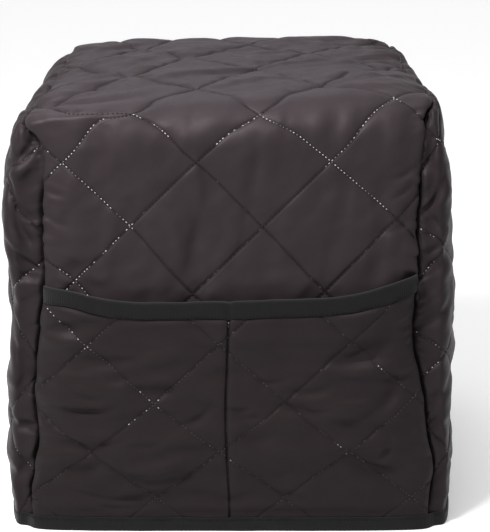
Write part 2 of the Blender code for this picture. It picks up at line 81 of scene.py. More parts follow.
# Height that the side panels swell past their seams: share of their height, left, right
SIDE_SWELL = (
    (0, 0.0218, 0.0208), (0.06, 0.0218, 0.0208), (0.16, 0.0265, 0.0208), (0.26, 0.0315, 0.025),
    (0.35, 0.028, 0.028), (0.43, 0.0275, 0.0358), (0.53, 0.031, 0.0378), (0.63, 0.0368, 0.033),
    (0.73, 0.0382, 0.03), (0.85, 0.0378, 0.0267), (0.93, 0.0364, 0.0228), (1, 0.035, 0.0208),
)
SIDE_ROUNDNESS = 8
SIDE_TOP_ROUNDNESS = 14
SIDE_TAPER = {-1: 0.16, 1: 0.04}

# The sides roll forward beside the front seams: how far, its middle and its width as shares of depth
FRONT_ROLL = 0.006
ROLL_MIDDLE = 0.03
ROLL_WIDTH = 0.05

# The cover stands a little higher on its right: rise for each metre to the right
LEAN_FRONT = 0.11
LEAN_BACK = 0.05

# Diamond quilting: six steps of the grid make one diamond
STEPS = 6
COLUMN_STEP = 0.1078 / STEPS
LINE_SPACING = STEPS * COLUMN_STEP / math.sqrt(2)
FIRST_CROSSING = -1.5
CROSSING_ROW = 18
POCKET_PUFF = 0.0021
SIDE_PUFF = 0.0028

# Height of the strip's padding: length along the strip, height
QUILT_PUFF = (
    (0.2, 0.002), (0.33, 0.0023), (0.375, 0.0036), (0.62, 0.0036), (0.68, 0.003), (0.99, 0.003),
)

# On top the quilting drifts left: how far, and the lengths along the strip where it comes and goes
TOP_DRIFT = 0.010
DRIFT_STARTS = (0.36, 0.58)
DRIFT_ENDS = (0.60, 0.72)

# Lengths along the strip where its relief comes up behind the pocket's mouth and ends at the back
RELIEF_STARTS = (0.170, 0.200)
RELIEF_ENDS = (0.965, 0.978)

# Rows of the strip's quilting: row, length along the strip from the front hem
STRIP_ROWS = (
    (0, 0.0015), (3, 0.055), (6, 0.108), (9, 0.161), (12, 0.215), (15, 0.268), (18, 0.322),
    (20, 0.3515), (21, 0.361), (22, 0.377), (24, 0.411), (27, 0.474), (30, 0.541), (33, 0.595),
    (34, 0.614), (35, 0.631), (36, 0.649), (39, 0.704), (42, 0.758), (45, 0.812), (48, 0.866),
    (51, 0.919), (54, 0.974), (55, 0.9881),
)
FIRST_LENGTH = STRIP_ROWS[0][1]
LAST_LENGTH = STRIP_ROWS[-1][1]
LAST_ROW = STRIP_ROWS[-1][0]

# Where crossings of the strip's quilting lie off their even places: column, row, steps off, reach
STRIP_PULLS = (
    (-7.5, 12, 0.45, 0.56, 1.9), (-1.5, 12, -0.2, -0.2, 1.9), (4.5, 12, -0.2, -0.2, 1.9),
    (-4.5, 15, 0, 0.14, 1.9), (7.5, 15, 0, 0.18, 1.9), (-7.5, 18, 0, 0.15, 1.5),
    (4.5, 18, 0, -0.19, 1.9), (-5.6, 20, -0.14, 0.42, 0.9), (-6, 22.6, -0.2, -1.2, 1.1),
    (-8.2, 30.2, 0, -1.5, 1.7), (-4.5, 21, 0.26, -0.66, 1.1), (1.5, 21, -0.16, -0.9, 1.4),
    (7.5, 21, -0.1, 0.25, 1.2), (9, 19.7, 0, -0.35, 0.8), (-7.5, 24, -0.9, -1.7, 1.9),
    (-1.5, 24, 0, -0.5, 1.4), (4.5, 24, -0.28, -0.6, 1.7), (-4.5, 27, -0.1, -0.8, 1.9),
    (-1.5, 30, -0.24, -0.6, 1.9), (4.5, 30, -0.2, -0.2, 1.9), (-4.5, 33, 0.3, -1.1, 1.9),
    (1.5, 33, 0, -1.1, 1.9),
)

# Side panels: steps from front to back and from hem to top
SIDE_COLUMNS = 17
SIDE_ROWS = 20
SIDE_CROSSING = {-1: (2.35, 5.25), 1: (1.5, 2.1)}
SIDE_SEEDS = {-1: 60, 1: 80}
SIDE_BEND = 0.18
SIDE_BEND_REACH = 0.09

# Beside its front seam the right side's cloth is gathered: how much closer its rows lie, the row that
# stays in place, and how far back that reaches
GATHERED = {-1: 0.0, 1: 0.227}
GATHERED_ROW = 11.7
GATHERED_REACH = 0.070
FRONT_CORNER_ROW = 20
BACK_CORNER_ROW = 35

# Along a side panel's top edge: its column, row of the strip that it is sewn to
TOP_EDGE = (
    (0, 20), (2, 22), (15, 33), (17, 35),
)

# Pocket: rows of its quilting, with their heights
POCKET_ROWS = (
    (-3, -0.015), (0, 0.031), (3, 0.076), (6, 0.122), (9, 0.174), (12, 0.226),
)
POCKET_CROSSING_COLUMN = 2.5
POCKET_GAPE = 0.0115
GAPE_ROUNDNESS = 8
POCKET_EDGE_INSET = 0.0009
DIVIDER_WIDTH = 0.0030
DIVIDER_DEPTH = 0.10
GAPE_RISE = (0.08, 0.50)
TAPE_ROOM_RISE = (0.80, 0.98)

# The seam that divides the pocket: height, x
DIVIDER_PATH = (
    (0, -0.001), (0.03, -0.0012), (0.07, -0.003), (0.115, -0.0038), (0.15, -0.0026), (0.21, -0.0006),
)

# Beside that seam the pocket's columns lie closer: x from and to, and the step
DIVIDER_SPAN = (-0.0075, 0.0035)
DIVIDER_CELL = 0.0005

# The pocket's mouth: x, height
POCKET_MOUTH = (
    (-0.153, 0.22), (-0.138, 0.22), (-0.126, 0.2184), (-0.113, 0.215), (-0.093, 0.2112),
    (-0.065, 0.209), (0.05, 0.209), (0.081, 0.21), (0.098, 0.2115), (0.113, 0.2142), (0.126, 0.2174),
    (0.138, 0.2203), (0.153, 0.223),
)
MIDDLE_MOUTH = 0.209
MOUTH_TAPE_WIDTH = 0.0115
HEM_TAPE_WIDTH = 0.0125
HEM_CLEARANCE = 0.0015

# Folds in the strip: x, length along the strip, turn in degrees, length, width, height
STRIP_FOLDS = (
    # behind the ridge over the front edge at the left
    (-0.11, 0.374, 2, 0.12, 0.006, -0.004), (-0.146, 0.384, 32, 0.056, 0.004, -0.0044),
    (-0.126, 0.393, 20, 0.06, 0.0055, 0.0026),
    # beside the front's seams
    (0.141, 0.306, 27, 0.03, 0.003, -0.002), (0.139, 0.291, 35, 0.03, 0.003, -0.002),
    (0.136, 0.262, 22, 0.034, 0.0035, -0.0016), (-0.142, 0.3, -20, 0.026, 0.003, -0.0016),
    (-0.141, 0.276, -28, 0.03, 0.0035, -0.0016),
    # the top near the left seam
    (-0.075, 0.435, 30, 0.11, 0.012, 0.003), (-0.105, 0.412, 38, 0.07, 0.006, -0.0018),
    (-0.118, 0.446, 42, 0.08, 0.006, 0.0018), (-0.11, 0.47, 40, 0.08, 0.005, -0.0018),
    (-0.095, 0.493, 32, 0.09, 0.01, -0.0025), (-0.112, 0.52, 38, 0.07, 0.006, 0.0016),
    (-0.09, 0.545, 30, 0.08, 0.007, -0.0018),
    # the top near the right seam
    (0.105, 0.425, -25, 0.09, 0.012, 0.003), (0.122, 0.452, -35, 0.06, 0.005, -0.0016),
    (0.11, 0.486, -32, 0.08, 0.006, 0.0018), (0.115, 0.522, -28, 0.08, 0.01, -0.0025),
    (0.118, 0.556, -35, 0.06, 0.006, 0.0016), (0.098, 0.59, -22, 0.07, 0.007, -0.0018),
    (0, 0.59, 4, 0.22, 0.018, 0.0022),
    # the front
    (-0.028, 0.262, 86, 0.08, 0.007, -0.002), (-0.02, 0.25, 80, 0.07, 0.018, -0.0026),
    (-0.042, 0.254, 98, 0.07, 0.006, 0.0016), (0.022, 0.318, 82, 0.055, 0.006, -0.0015),
    (0.08, 0.245, 60, 0.06, 0.015, -0.002), (0.078, 0.296, 20, 0.02, 0.007, -0.0014),
    (-0.118, 0.226, -40, 0.06, 0.008, -0.0016), (0.12, 0.232, 35, 0.07, 0.009, -0.0014),
    (0.05, 0.232, 10, 0.06, 0.01, -0.0012),
    # the back
    (0.03, 0.746, 70, 0.12, 0.024, -0.003), (-0.07, 0.814, 20, 0.14, 0.02, 0.003),
    (0.085, 0.85, -28, 0.1, 0.012, -0.0022), (-0.06, 0.705, -50, 0.08, 0.009, -0.0018),
    (0.05, 0.91, 12, 0.12, 0.014, -0.0022),
)

# The crisp ridge where the top folds over the front at the left: length along the strip, height, reach,
# and the places along x where it rises and fades
RIDGE = (0.3525, 0.0066, 0.0060)
RIDGE_SPAN = (-0.175, -0.156, -0.085, -0.050)

# Wrinkles: part of the cloth, height, turn in degrees, length, breadth, seed
STRIP_WRINKLES = (
    ("top_left", 0.0036, 40, 0.1, 0.014, 21), ("top_right", 0.003, -14, 0.09, 0.012, 22),
    ("top", 0.0018, 22, 0.08, 0.012, 23), ("top", 0.0008, -26, 0.045, 0.0085, 28),
    ("back", 0.0008, 35, 0.07, 0.015, 24), ("back", 0.0007, -40, 0.06, 0.013, 25),
    ("front", 0.0011, 82, 0.05, 0.012, 26), ("front", 0.0007, 40, 0.045, 0.012, 29),
    ("all", 0.00034, 5, 0.03, 0.0085, 27),
)
SIDE_WRINKLES = (("all", 0.001, 40, 0.06, 0.013, 5), ("all", 0.0009, -35, 0.055, 0.012, 6))
POCKET_WRINKLES = (("all", 0.0018, 3, 0.06, 0.011, 105), ("all", 0.001, -18, 0.045, 0.009, 106))
WRINKLE_SWAY = 0.35

# Where those parts come and go: lengths along the strip, and shares of its half width
FRONT_ENDS = (0.34, 0.37)
TOP_SPAN = (0.362, 0.40, 0.60, 0.64)
BACK_STARTS = (0.64, 0.68)
NEAR_LEFT = (0.35, 0.85)
NEAR_RIGHT = (0.45, 0.90)

# Folds in the sides, by side: length from the front seam, from the hem, turn, length, width, height
SIDE_FOLDS = {
    -1: (
        (0.006, 0.345, 84, 0.056, 0.006, -0.0034), (0.0095, 0.35, 4, 0.026, 0.003, -0.002),
        (0.02, 0.337, -45, 0.05, 0.0034, -0.0034), (0.017, 0.324, -50, 0.04, 0.006, 0.003),
        (0.023, 0.296, 52, 0.055, 0.0045, -0.0046), (0.018, 0.275, 68, 0.06, 0.0038, -0.004),
        (0.024, 0.262, 60, 0.05, 0.006, 0.0026), (0.016, 0.245, 45, 0.052, 0.005, -0.0052),
        (0.012, 0.231, 8, 0.034, 0.0045, -0.0034), (0.02, 0.205, -25, 0.05, 0.006, -0.0024),
        (0.018, 0.16, 35, 0.06, 0.006, -0.0026), (0.02, 0.128, -30, 0.05, 0.0055, -0.0022),
        (0.025, 0.094, 5, 0.09, 0.006, -0.0046), (0.018, 0.05, -25, 0.06, 0.006, -0.0026),
        (0.045, 0.22, 60, 0.11, 0.015, -0.0034), (0.175, 0.22, 40, 0.14, 0.023, -0.003),
        (0.16, 0.13, -30, 0.11, 0.009, -0.0022), (0.25, 0.275, -55, 0.09, 0.008, -0.0022),
        (0.1, 0.3, 25, 0.09, 0.008, -0.0022),
    ),
    1: (
        (0.006, 0.358, 52, 0.04, 0.0042, -0.0062), (0.014, 0.288, 50, 0.055, 0.0036, -0.004),
        (0.016, 0.268, -35, 0.045, 0.0045, -0.0026), (0.014, 0.246, 28, 0.044, 0.004, -0.0026),
        (0.02, 0.225, -48, 0.06, 0.006, -0.003), (0.016, 0.186, 30, 0.06, 0.0055, -0.003),
        (0.018, 0.15, -30, 0.08, 0.008, -0.0034), (0.02, 0.118, 18, 0.06, 0.006, -0.0026),
        (0.02, 0.09, -12, 0.07, 0.006, -0.003), (0.018, 0.048, 22, 0.06, 0.006, -0.0024),
        (0.05, 0.255, 50, 0.09, 0.013, -0.0026), (0.2, 0.16, -35, 0.14, 0.023, -0.003),
        (0.16, 0.25, 32, 0.11, 0.009, -0.0022), (0.25, 0.11, 58, 0.09, 0.008, -0.0022),
        (0.1, 0.09, -20, 0.09, 0.008, -0.0022),
    ),
}

# Folds in the pocket: x, height, turn, length, width, height of the fold. All are this much higher
POCKET_FOLD_SHARE = 1.5
POCKET_FOLDS = (
    (-0.121, 0.1145, -2, 0.062, 0.0032, -0.0018), (-0.117, 0.127, -10, 0.034, 0.0036, -0.0014),
    (-0.063, 0.132, -4, 0.052, 0.006, -0.0024), (-0.103, 0.0847, 0, 0.034, 0.0034, -0.0016),
    (-0.071, 0.083, 4, 0.04, 0.004, -0.0016), (-0.1, 0.029, -5, 0.078, 0.0032, -0.0019),
    (-0.096, 0.021, -6, 0.07, 0.0032, -0.0016), (-0.027, 0.107, 32, 0.04, 0.004, -0.0017),
    (0.008, 0.1145, 2, 0.026, 0.003, -0.0014), (0.015, 0.108, -6, 0.028, 0.0034, -0.0014),
    (0.034, 0.1386, 3, 0.032, 0.0034, -0.0014), (0.064, 0.1292, 2, 0.048, 0.0042, -0.0018),
    (0.07, 0.1114, 0, 0.032, 0.0034, -0.0013), (0.102, 0.104, 14, 0.042, 0.004, -0.0018),
    (0.021, 0.087, -4, 0.036, 0.006, -0.0018), (0.028, 0.046, 0, 0.05, 0.008, -0.002),
    (0.136, 0.138, 2, 0.036, 0.0034, -0.0016), (0.128, 0.118, 42, 0.044, 0.007, -0.003),
    (0.13, 0.075, 60, 0.034, 0.0036, -0.0015), (-0.095, 0.158, 4, 0.07, 0.006, -0.0026),
    (-0.06, 0.06, 12, 0.06, 0.008, 0.0022), (-0.12, 0.06, 18, 0.05, 0.006, -0.0022),
    (0.11, 0.16, 24, 0.07, 0.009, -0.0034), (0.12, 0.058, -20, 0.06, 0.008, -0.003),
    (0.072, 0.07, -10, 0.05, 0.007, 0.0018),
)

# Padding: how far its lines sink, how far from a line it rises, and over what distance it is uneven
LINE_SINK = 0.0006
NARROW_RISE = 0.0030
BROAD_RISE = 0.0150
BODY_REACH = 0.055
POCKET_BODY_REACH = 0.05

# Gathers beside the quilting lines: heights, length of one, where they start and how far they reach
STRIP_GATHERS = 0.00034
SIDE_GATHERS = 0.00036
POCKET_GATHERS = 0.00024
GATHER_LENGTH = 0.0065
GATHER_START = 0.0015
GATHER_REACH = 0.0080

# Puckers that run out from the seams: heights, length of one, and how far they reach
SEAM_PUCKERS = 0.0020
POCKET_PUCKERS = 0.0017
PUCKER_LENGTH = 0.0075
STRIP_PUCKER_REACH = 0.0110
SIDE_PUCKER_REACH = 0.0090
POCKET_PUCKER_REACH = 0.0100

# The relief comes up over these distances from the seams and from the hem
STRIP_EDGE = (-0.001, 0.005)
SIDE_EDGE = (-0.002, 0.005)
POCKET_EDGE = (-0.001, 0.006)
SIDE_HEM_RISE = (0.012, 0.026)
POCKET_HEM_RISE = (0.014, 0.026)

# The pocket's dividing seam: depth and half width of its groove, its puckers, and where it ends
GROOVE_DEPTH = 0.0020
GROOVE_WIDTH = 0.0009
GROOVE_PUCKERS = 0.0007
GROOVE_PUCKER_LENGTH = 0.007
GROOVE_PUCKER_START = 0.0012
GROOVE_PUCKER_REACH = 0.0070
GROOVE_ENDS = (0.195, 0.200)

# Steps of the fine meshes
CELL = 0.0017
HIDDEN_CELL = 0.0080
BACK_CELL = 0.0023
INNER_SKIP = 6
TAPE_CELL = 0.0007
HEM_CELL = 0.0011
LAST_STEPS = (0.0042, 0.0029, 0.0018, 0.0010, 0.0004, 0.0)

# Lengths along the strip where it shows above the pocket and where its back begins
STRIP_SHOWN = 0.176
STRIP_BACK = 0.640

# Stitches: pitch, length and width, how far they stand off, and the share of the bright ones that shine
STITCH_PITCH = 0.0035
STITCH_LENGTH = 0.0017
STITCH_WIDTH = 0.0009
STITCH_LIFT = 0.00025
SHINING = 0.68

# The side seams waver, and both cloths dip beside them: how far, and over what distance
SEAM_WAVER = 0.0011
WAVER_LENGTH = 0.0130
WAVER_SEED = 41
SEAM_DIP = 0.0028
SEAM_DIP_REACH = 0.0022

# Share of that dip, above 0 inward: length along the strip, left, right
SEAM_DEPTH = (
    (0, 1, 1), (0.288, 1, 1), (0.304, 0.6, 0.3), (0.314, 0, -0.8), (0.339, 0, -0.8), (0.349, 0.8, 1.2),
    (0.358, 0.8, 1.3), (0.368, 0.4, 0.5), (0.62, 0.3, 0.4), (0.66, 0.8, 0.8), (0.99, 1, 1),
)

# Camera fitted to the photograph: place before centring, degrees down, focal length in mm
CAMERA_PLACE = (0.012, -1.45, 0.636)
CAMERA_PITCH = 17.25
CAMERA_LENS = 112.5


def smooth_table(table, column, x):
    """Value of a table's column at x, on a smooth curve that never overshoots its rows."""
    keys = np.array([row[0] for row in table], float)
    values = np.array([row[column] for row in table], float)
    x = np.clip(np.asarray(x, float), keys[0], keys[-1])
    step = np.diff(keys)
    slope = np.diff(values) / step
    tangent = np.concatenate([slope[:1], np.zeros(len(slope) - 1), slope[-1:]])
    same_way = slope[:-1] * slope[1:] > 0
    both = np.where(same_way, slope[:-1] + slope[1:], 1.0)
    tangent[1:-1] = np.where(same_way, 2 * slope[:-1] * slope[1:] / both, 0.0)
    i = np.clip(np.searchsorted(keys, x) - 1, 0, len(step) - 1)
    t = (x - keys[i]) / step[i]
    rise = (3 - 2 * t) * t * t
    lift = t * (1 - t) * step[i] * ((1 - t) * tangent[i] - t * tangent[i + 1])
    return values[i] * (1 - rise) + values[i + 1] * rise + lift


def ramp(x, start, end):
    """0 before start, 1 after end, smooth between."""
    t = np.clip((np.asarray(x, float) - start) / (end - start), 0, 1)
    return t * t * (3 - 2 * t)


def noise(u, v, seed):
    """Smooth noise from -1 to 1 whose features are about one unit apart."""
    size = 128
    table = np.random.RandomState(seed).uniform(-1, 1, (size, size))
    i = np.floor(u).astype(int)
    j = np.floor(v).astype(int)
    fu = u - i
    fv = v - j
    fu = fu * fu * fu * (fu * (fu * 6 - 15) + 10)
    fv = fv * fv * fv * (fv * (fv * 6 - 15) + 10)
    low = table[i % size, j % size] * (1 - fu) + table[(i + 1) % size, j % size] * fu
    high = table[i % size, (j + 1) % size] * (1 - fu) + table[(i + 1) % size, (j + 1) % size] * fu
    return low * (1 - fv) + high * fv


def waver(along, length, seed, place=0):
    """Noise along a line."""
    return noise(along / length, along * 0 + place, seed)


def streaks(x, y, turn, run, breadth, seed):
    """Noise drawn out along a direction: wrinkles of a length and a breadth."""
    c = math.cos(math.radians(turn))
    s = math.sin(math.radians(turn))
    along = x * c + y * s
    across = y * c - x * s
    across = across + WRINKLE_SWAY * breadth * noise(x / run * 1.7, y / run * 1.7, seed + 50)
    return noise(along / run, across / breadth, seed)


def rounded_line(corners, arc_step=0.0005):
    """Points of a line with rounded corners, and the length along it at each."""
    points = [np.array(corners[0][:2])]
    for before, (y, z, radius), after in zip(corners, corners[1:], corners[2:]):
        corner = np.array((y, z))
        if radius == 0:
            points.append(corner)
            continue
        back = np.array(before[:2]) - corner
        ahead = np.array(after[:2]) - corner
        back /= np.linalg.norm(back)
        ahead /= np.linalg.norm(ahead)
        half = math.acos(float(back @ ahead)) / 2
        middle = back + ahead
        centre = corner + middle / np.linalg.norm(middle) * radius / math.sin(half)
        first = corner + back * radius / math.tan(half) - centre
        last = corner + ahead * radius / math.tan(half) - centre
        start = math.atan2(first[1], first[0])
        turn = math.atan2(last[1], last[0]) - start
        turn = (turn + math.pi) % (2 * math.pi) - math.pi
        count = int(abs(turn) * radius / arc_step)
        for k in range(count + 1):
            angle = start + turn * k / count
            points.append(centre + radius * np.array((math.cos(angle), math.sin(angle))))
    points.append(np.array(corners[-1][:2]))
    points = np.array(points)
    lengths = np.linalg.norm(np.diff(points, axis=0), axis=1)
    return points, np.concatenate([[0.0], np.cumsum(lengths)])


DIRECTION_REACH = 0.004
SEAM_POINTS, SEAM_LENGTHS = rounded_line(SEAM_PROFILE)
STRIP_LENGTH = SEAM_LENGTHS[-1]
FINE_ROWS = np.linspace(0, LAST_ROW, 4001)
FINE_LENGTHS = smooth_table(STRIP_ROWS, 1, FINE_ROWS)
FINE_POCKET_ROWS = np.linspace(POCKET_ROWS[0][0], POCKET_ROWS[-1][0], 2001)
FINE_POCKET_HEIGHTS = smooth_table(POCKET_ROWS, 1, FINE_POCKET_ROWS)


def seam_place(s):
    """y and z on the seam at length s."""
    s = np.clip(s, 0, STRIP_LENGTH)
    return np.interp(s, SEAM_LENGTHS, SEAM_POINTS[:, 0]), np.interp(s, SEAM_LENGTHS, SEAM_POINTS[:, 1])


def seam_line(s):
    """y and z on the seam at length s, and the outward direction there."""
    y, z = seam_place(s)
    y_ahead, z_ahead = seam_place(s + DIRECTION_REACH)
    y_behind, z_behind = seam_place(s - DIRECTION_REACH)
    along_y = y_ahead - y_behind
    along_z = z_ahead - z_behind
    size = np.hypot(along_y, along_z)
    return y, z, -along_z / size, along_y / size


def half_width(s, side):
    """Distance of a side seam from the middle. The seam wavers a little."""
    left, right = (
        smooth_table(SEAM_WIDTHS, column, s) + SEAM_WAVER * waver(s, WAVER_LENGTH, WAVER_SEED, place)
        for column, place in ((1, 3), (2, 9))
    )
    return np.where(np.asarray(side) < 0, left, right)


def lean(points):
    """Raise the right of the cover a little, with the hem left level, and centre it."""
    back = ramp(points[..., 1], SEAM_PROFILE[0][0], SEAM_PROFILE[-1][0])
    rate = LEAN_FRONT + (LEAN_BACK - LEAN_FRONT) * back
    leaned = points + np.array(CENTRE_SHIFT)
    leaned[..., 2] = points[..., 2] * (1 + rate * points[..., 0])
    return leaned


def fold(across, along, turn, length, width, height):
    """Height of one soft fold at a place given from its middle."""
    c = math.cos(math.radians(turn))
    s = math.sin(math.radians(turn))
    run = (across * c + along * s) / (length / 2)
    bow = 0.12 * length * run * run
    off = (along * c - across * s - bow) / width
    return height * np.exp(-off * off) * np.clip(1 - run * run, 0, 1) ** 1.5


def folded(relief, table, across, along, share=1.0):
    """The relief with the folds of a table added."""
    for place, height, *shape in table:
        relief += share * fold(across - place, along - height, *shape)
    return relief


def wrinkled(relief, table, across, along, parts, seed=0):
    """The relief with the wrinkles of a table added, each on its part of the cloth."""
    for part, height, turn, run, breadth, draw in table:
        relief += height * parts[part] * streaks(across, along, turn, run, breadth, seed + draw)
    return relief


def beside_lines(column, row):
    """For each family of quilting lines: the nearest line, the distance from it and the place along it."""
    rising = (column + row) / STEPS
    falling = (column - row) / STEPS
    for line, along in ((rising, falling), (falling, rising)):
        nearest = np.round(line)
        yield nearest, np.abs(line - nearest) * LINE_SPACING, along * LINE_SPACING


def padding(column, row):
    """Height of the padding between the lines of stitches, 0 on a line and about 1 in a middle."""
    height = 1.0
    for _, away, _ in beside_lines(column, row):
        height = height * (1 - 0.50 * np.exp(-away / NARROW_RISE) - 0.50 * np.exp(-away / BROAD_RISE))
    return height


def gathers(column, row, seed):
    """Small puckers that cross the lines of stitches and die out beside them."""
    total = 0.0
    for k, (line, away, run) in enumerate(beside_lines(column, row)):
        ripple = noise(run / GATHER_LENGTH, line * 7.3 + away / 0.030, seed + k)
        total = total + ripple * np.exp(-away / GATHER_REACH) * (1 - np.exp(-away / GATHER_START))
    return total


def puckers(along, away, offset, seed):
    """Short sharp gathers that run out from a seam."""
    bent = along + 0.3 * away * np.sign(noise(along / 0.05, along * 0 + offset, seed + 20))
    rounded = 2.2 * np.abs(noise(bent / PUCKER_LENGTH + offset, away / 0.030 + 3, seed)) - 0.7
    return rounded + 0.5 * noise(bent / (2 * PUCKER_LENGTH) + offset, away / 0.040, seed + 1)


def pulled(column, row):
    """Move even places of the strip's quilting to where the cloth carries them."""
    moved_column = column
    moved_row = row
    for place, height, right, up, reach in STRIP_PULLS:
        weight = np.exp(-((column - place) ** 2 + (row - height) ** 2) / (2 * reach**2))
        moved_column = moved_column + right * weight
        moved_row = moved_row + up * weight
    return moved_column, moved_row


def even_place(column, row):
    """The even place whose moved place is column, row."""
    even_column = column
    even_row = row
    for _ in range(4):
        moved_column, moved_row = pulled(even_column, even_row)
        even_column = even_column + column - moved_column
        even_row = even_row + row - moved_row
    return even_column, even_row


def top_drift(s, share):
    """How far the quilting lies to the left of its even columns."""
    on_top = ramp(s, *DRIFT_STARTS) * (1 - ramp(s, *DRIFT_ENDS))
    return TOP_DRIFT * on_top * (1 - share**2)


def strip_swell(s, share_out):
    """Swell of the strip above its seams."""
    middle = smooth_table(STRIP_SWELL, 1, s)
    return middle * np.sqrt(np.clip(1 - np.abs(share_out) ** STRIP_ROUNDNESS, 0, 1))


def seam_depth(s, side):
    """Share of the full dip beside a side seam."""
    left, right = (smooth_table(SEAM_DEPTH, column, s) for column in (1, 2))
    return np.where(np.asarray(side) < 0, left, right)


def strip_quilting(x, s):
    """Column and row of the strip's quilting at a place, from a crossing."""
    column = (x + top_drift(s, x / half_width(s, x))) / COLUMN_STEP
    column, row = even_place(column, np.interp(s, FINE_LENGTHS, FINE_ROWS))
    return column - FIRST_CROSSING, row - CROSSING_ROW


def strip_relief(x, s):
    """Quilting, folds and puckers of the strip."""
    share = x / half_width(s, x)
    column, row = strip_quilting(x, s)
    body = 1 + 0.22 * noise(x / BODY_REACH + 9, s / BODY_REACH, 3)
    relief = smooth_table(QUILT_PUFF, 1, s) * padding(column, row) * body - LINE_SINK
    relief += STRIP_GATHERS * gathers(column, row, 11)
    relief = folded(relief, STRIP_FOLDS, x, s)
    place, height, reach = RIDGE
    on_ridge = ramp(x, *RIDGE_SPAN[:2]) * (1 - ramp(x, *RIDGE_SPAN[2:]))
    relief += height * on_ridge * np.exp(-np.abs(s - place) / reach)
    top = ramp(s, *TOP_SPAN[:2]) * (1 - ramp(s, *TOP_SPAN[2:]))
    parts = {
        "all": 1.0,
        "front": 1 - ramp(s, *FRONT_ENDS),
        "top": top,
        "top_left": top * ramp(-share, *NEAR_LEFT),
        "top_right": top * ramp(share, *NEAR_RIGHT),
        "back": ramp(s, *BACK_STARTS),
    }
    relief = wrinkled(relief, STRIP_WRINKLES, x, s, parts)
    from_seam = STRIP_ARC[1][-1] - np.interp(np.abs(share), STRIP_ARC[0], STRIP_ARC[1])
    gathered = puckers(s, from_seam, 40 * (x > 0), 31) * np.exp(-from_seam / STRIP_PUCKER_REACH)
    relief += SEAM_PUCKERS * gathered * np.minimum(seam_depth(s, x) + 0.2, 1)
    shown = ramp(s, *RELIEF_STARTS) * (1 - ramp(s, *RELIEF_ENDS))
    dip = SEAM_DIP * seam_depth(s, x) * np.exp(-from_seam / SEAM_DIP_REACH)
    return relief * shown * ramp(from_seam, *STRIP_EDGE) - dip


def strip_point(x, s, outward):
    """A point over the strip's seam surface, moved outward from its smooth swell."""
    y, z, out_y, out_z = seam_line(s)
    swell = strip_swell(s, x / half_width(s, x)) + outward
    return np.stack([x, y + out_y * swell, z + out_z * swell], -1)


def unit(vectors):
    """Directions, each of length 1."""
    return vectors / np.linalg.norm(vectors, axis=-1, keepdims=True)


def raised(skin, u, v, height, step_u, step_v):
    """Points of a skin moved along its own normal."""
    along_u = skin(u + step_u, v) - skin(u - step_u, v)
    along_v = skin(u, v + step_v) - skin(u, v - step_v)
    out = np.cross(along_u, along_v)
    out /= np.maximum(np.linalg.norm(out, axis=-1, keepdims=True), 1e-12)
    return skin(u, v) + out * height[..., None]


def strip_skin(share, s):
    """The strip's swollen shape, without its relief."""
    x = share * half_width(s, share)
    return strip_point(x, s, 0.0)


def strip_outer(share, s):
    """The strip's outer face."""
    height = strip_relief(share * half_width(s, share), s)
    return lean(raised(strip_skin, share, s, height, 0.0015, 0.0005))


def strip_inner(share, s):
    """The strip's inner face."""
    x = share * (half_width(s, share) - PANEL_THICKNESS)
    y, z, out_y, out_z = seam_line(s)
    swell = strip_swell(s, share) - PANEL_THICKNESS
    return lean(np.stack([x, y + out_y * swell, z + out_z * swell], -1))


def seam_point(row, side, depth):
    """The side panel's edge beside a row of the strip."""
    s = smooth_table(STRIP_ROWS, 1, row)
    y, z, out_y, out_z = seam_line(s)
    x = half_width(s, side) - depth
    return np.stack([x, y - out_y * depth, z - out_z * depth], -1)


def side_frame(across, up, side, depth):
    """A side panel's flat shape, its edges on the seams, and how far its top edge lies out from it."""
    a = across[..., None]
    b = up[..., None]
    columns = [place[0] for place in TOP_EDGE]
    rows = [place[1] for place in TOP_EDGE]
    top_row = np.interp(across * SIDE_COLUMNS, columns, rows)
    front = seam_point(up * SIDE_ROWS, side, depth)
    back = seam_point(LAST_ROW - up * SIDE_ROWS, side, depth)
    top = seam_point(top_row, side, depth)
    top_front = seam_point(np.full_like(up, FRONT_CORNER_ROW), side, depth)
    top_back = seam_point(np.full_like(up, BACK_CORNER_ROW), side, depth)
    rise = top - top_front * (1 - a) - top_back * a
    points = front * (1 - a) + back * a
    points[..., 1:] += rise[..., 1:] * b
    return points, rise[..., 0]


def line_lengths(points):
    """Length along a line at each of its points."""
    return np.concatenate([[0.0], np.cumsum(np.linalg.norm(np.diff(points, axis=0), axis=1))])


def side_lengths(across, up, side):
    """Lengths over the swollen cloth from the front seam and from the hem."""
    shares, across_lengths, heights, up_lengths = SIDE_ARCS[side]
    return np.interp(across, shares, across_lengths), np.interp(up, heights, up_lengths)


def side_shares(y, z, side):
    """Shares of a side panel at lengths over the cloth."""
    shares, across_lengths, heights, up_lengths = SIDE_ARCS[side]
    return np.interp(y, across_lengths, shares), np.interp(z, up_lengths, heights)


def side_bends(y, z, side):
    """How far a side panel's quilting lies off its even columns and rows."""
    seed = SIDE_SEEDS[side]
    across, up = y / SIDE_BEND_REACH, z / SIDE_BEND_REACH
    gathered = GATHERED[side] * (z / COLUMN_STEP - GATHERED_ROW) * np.exp(-((y / GATHERED_REACH) ** 2))
    return SIDE_BEND * noise(across, up, seed), SIDE_BEND * noise(across + 7, up, seed + 1) + gathered


def side_quilting(y, z, side):
    """Column and row of a side panel's quilting at a place, from a crossing."""
    column_bend, row_bend = side_bends(y, z, side)
    column = y / COLUMN_STEP + column_bend
    row = z / COLUMN_STEP + row_bend
    return column - SIDE_CROSSING[side][0], row - SIDE_CROSSING[side][1]


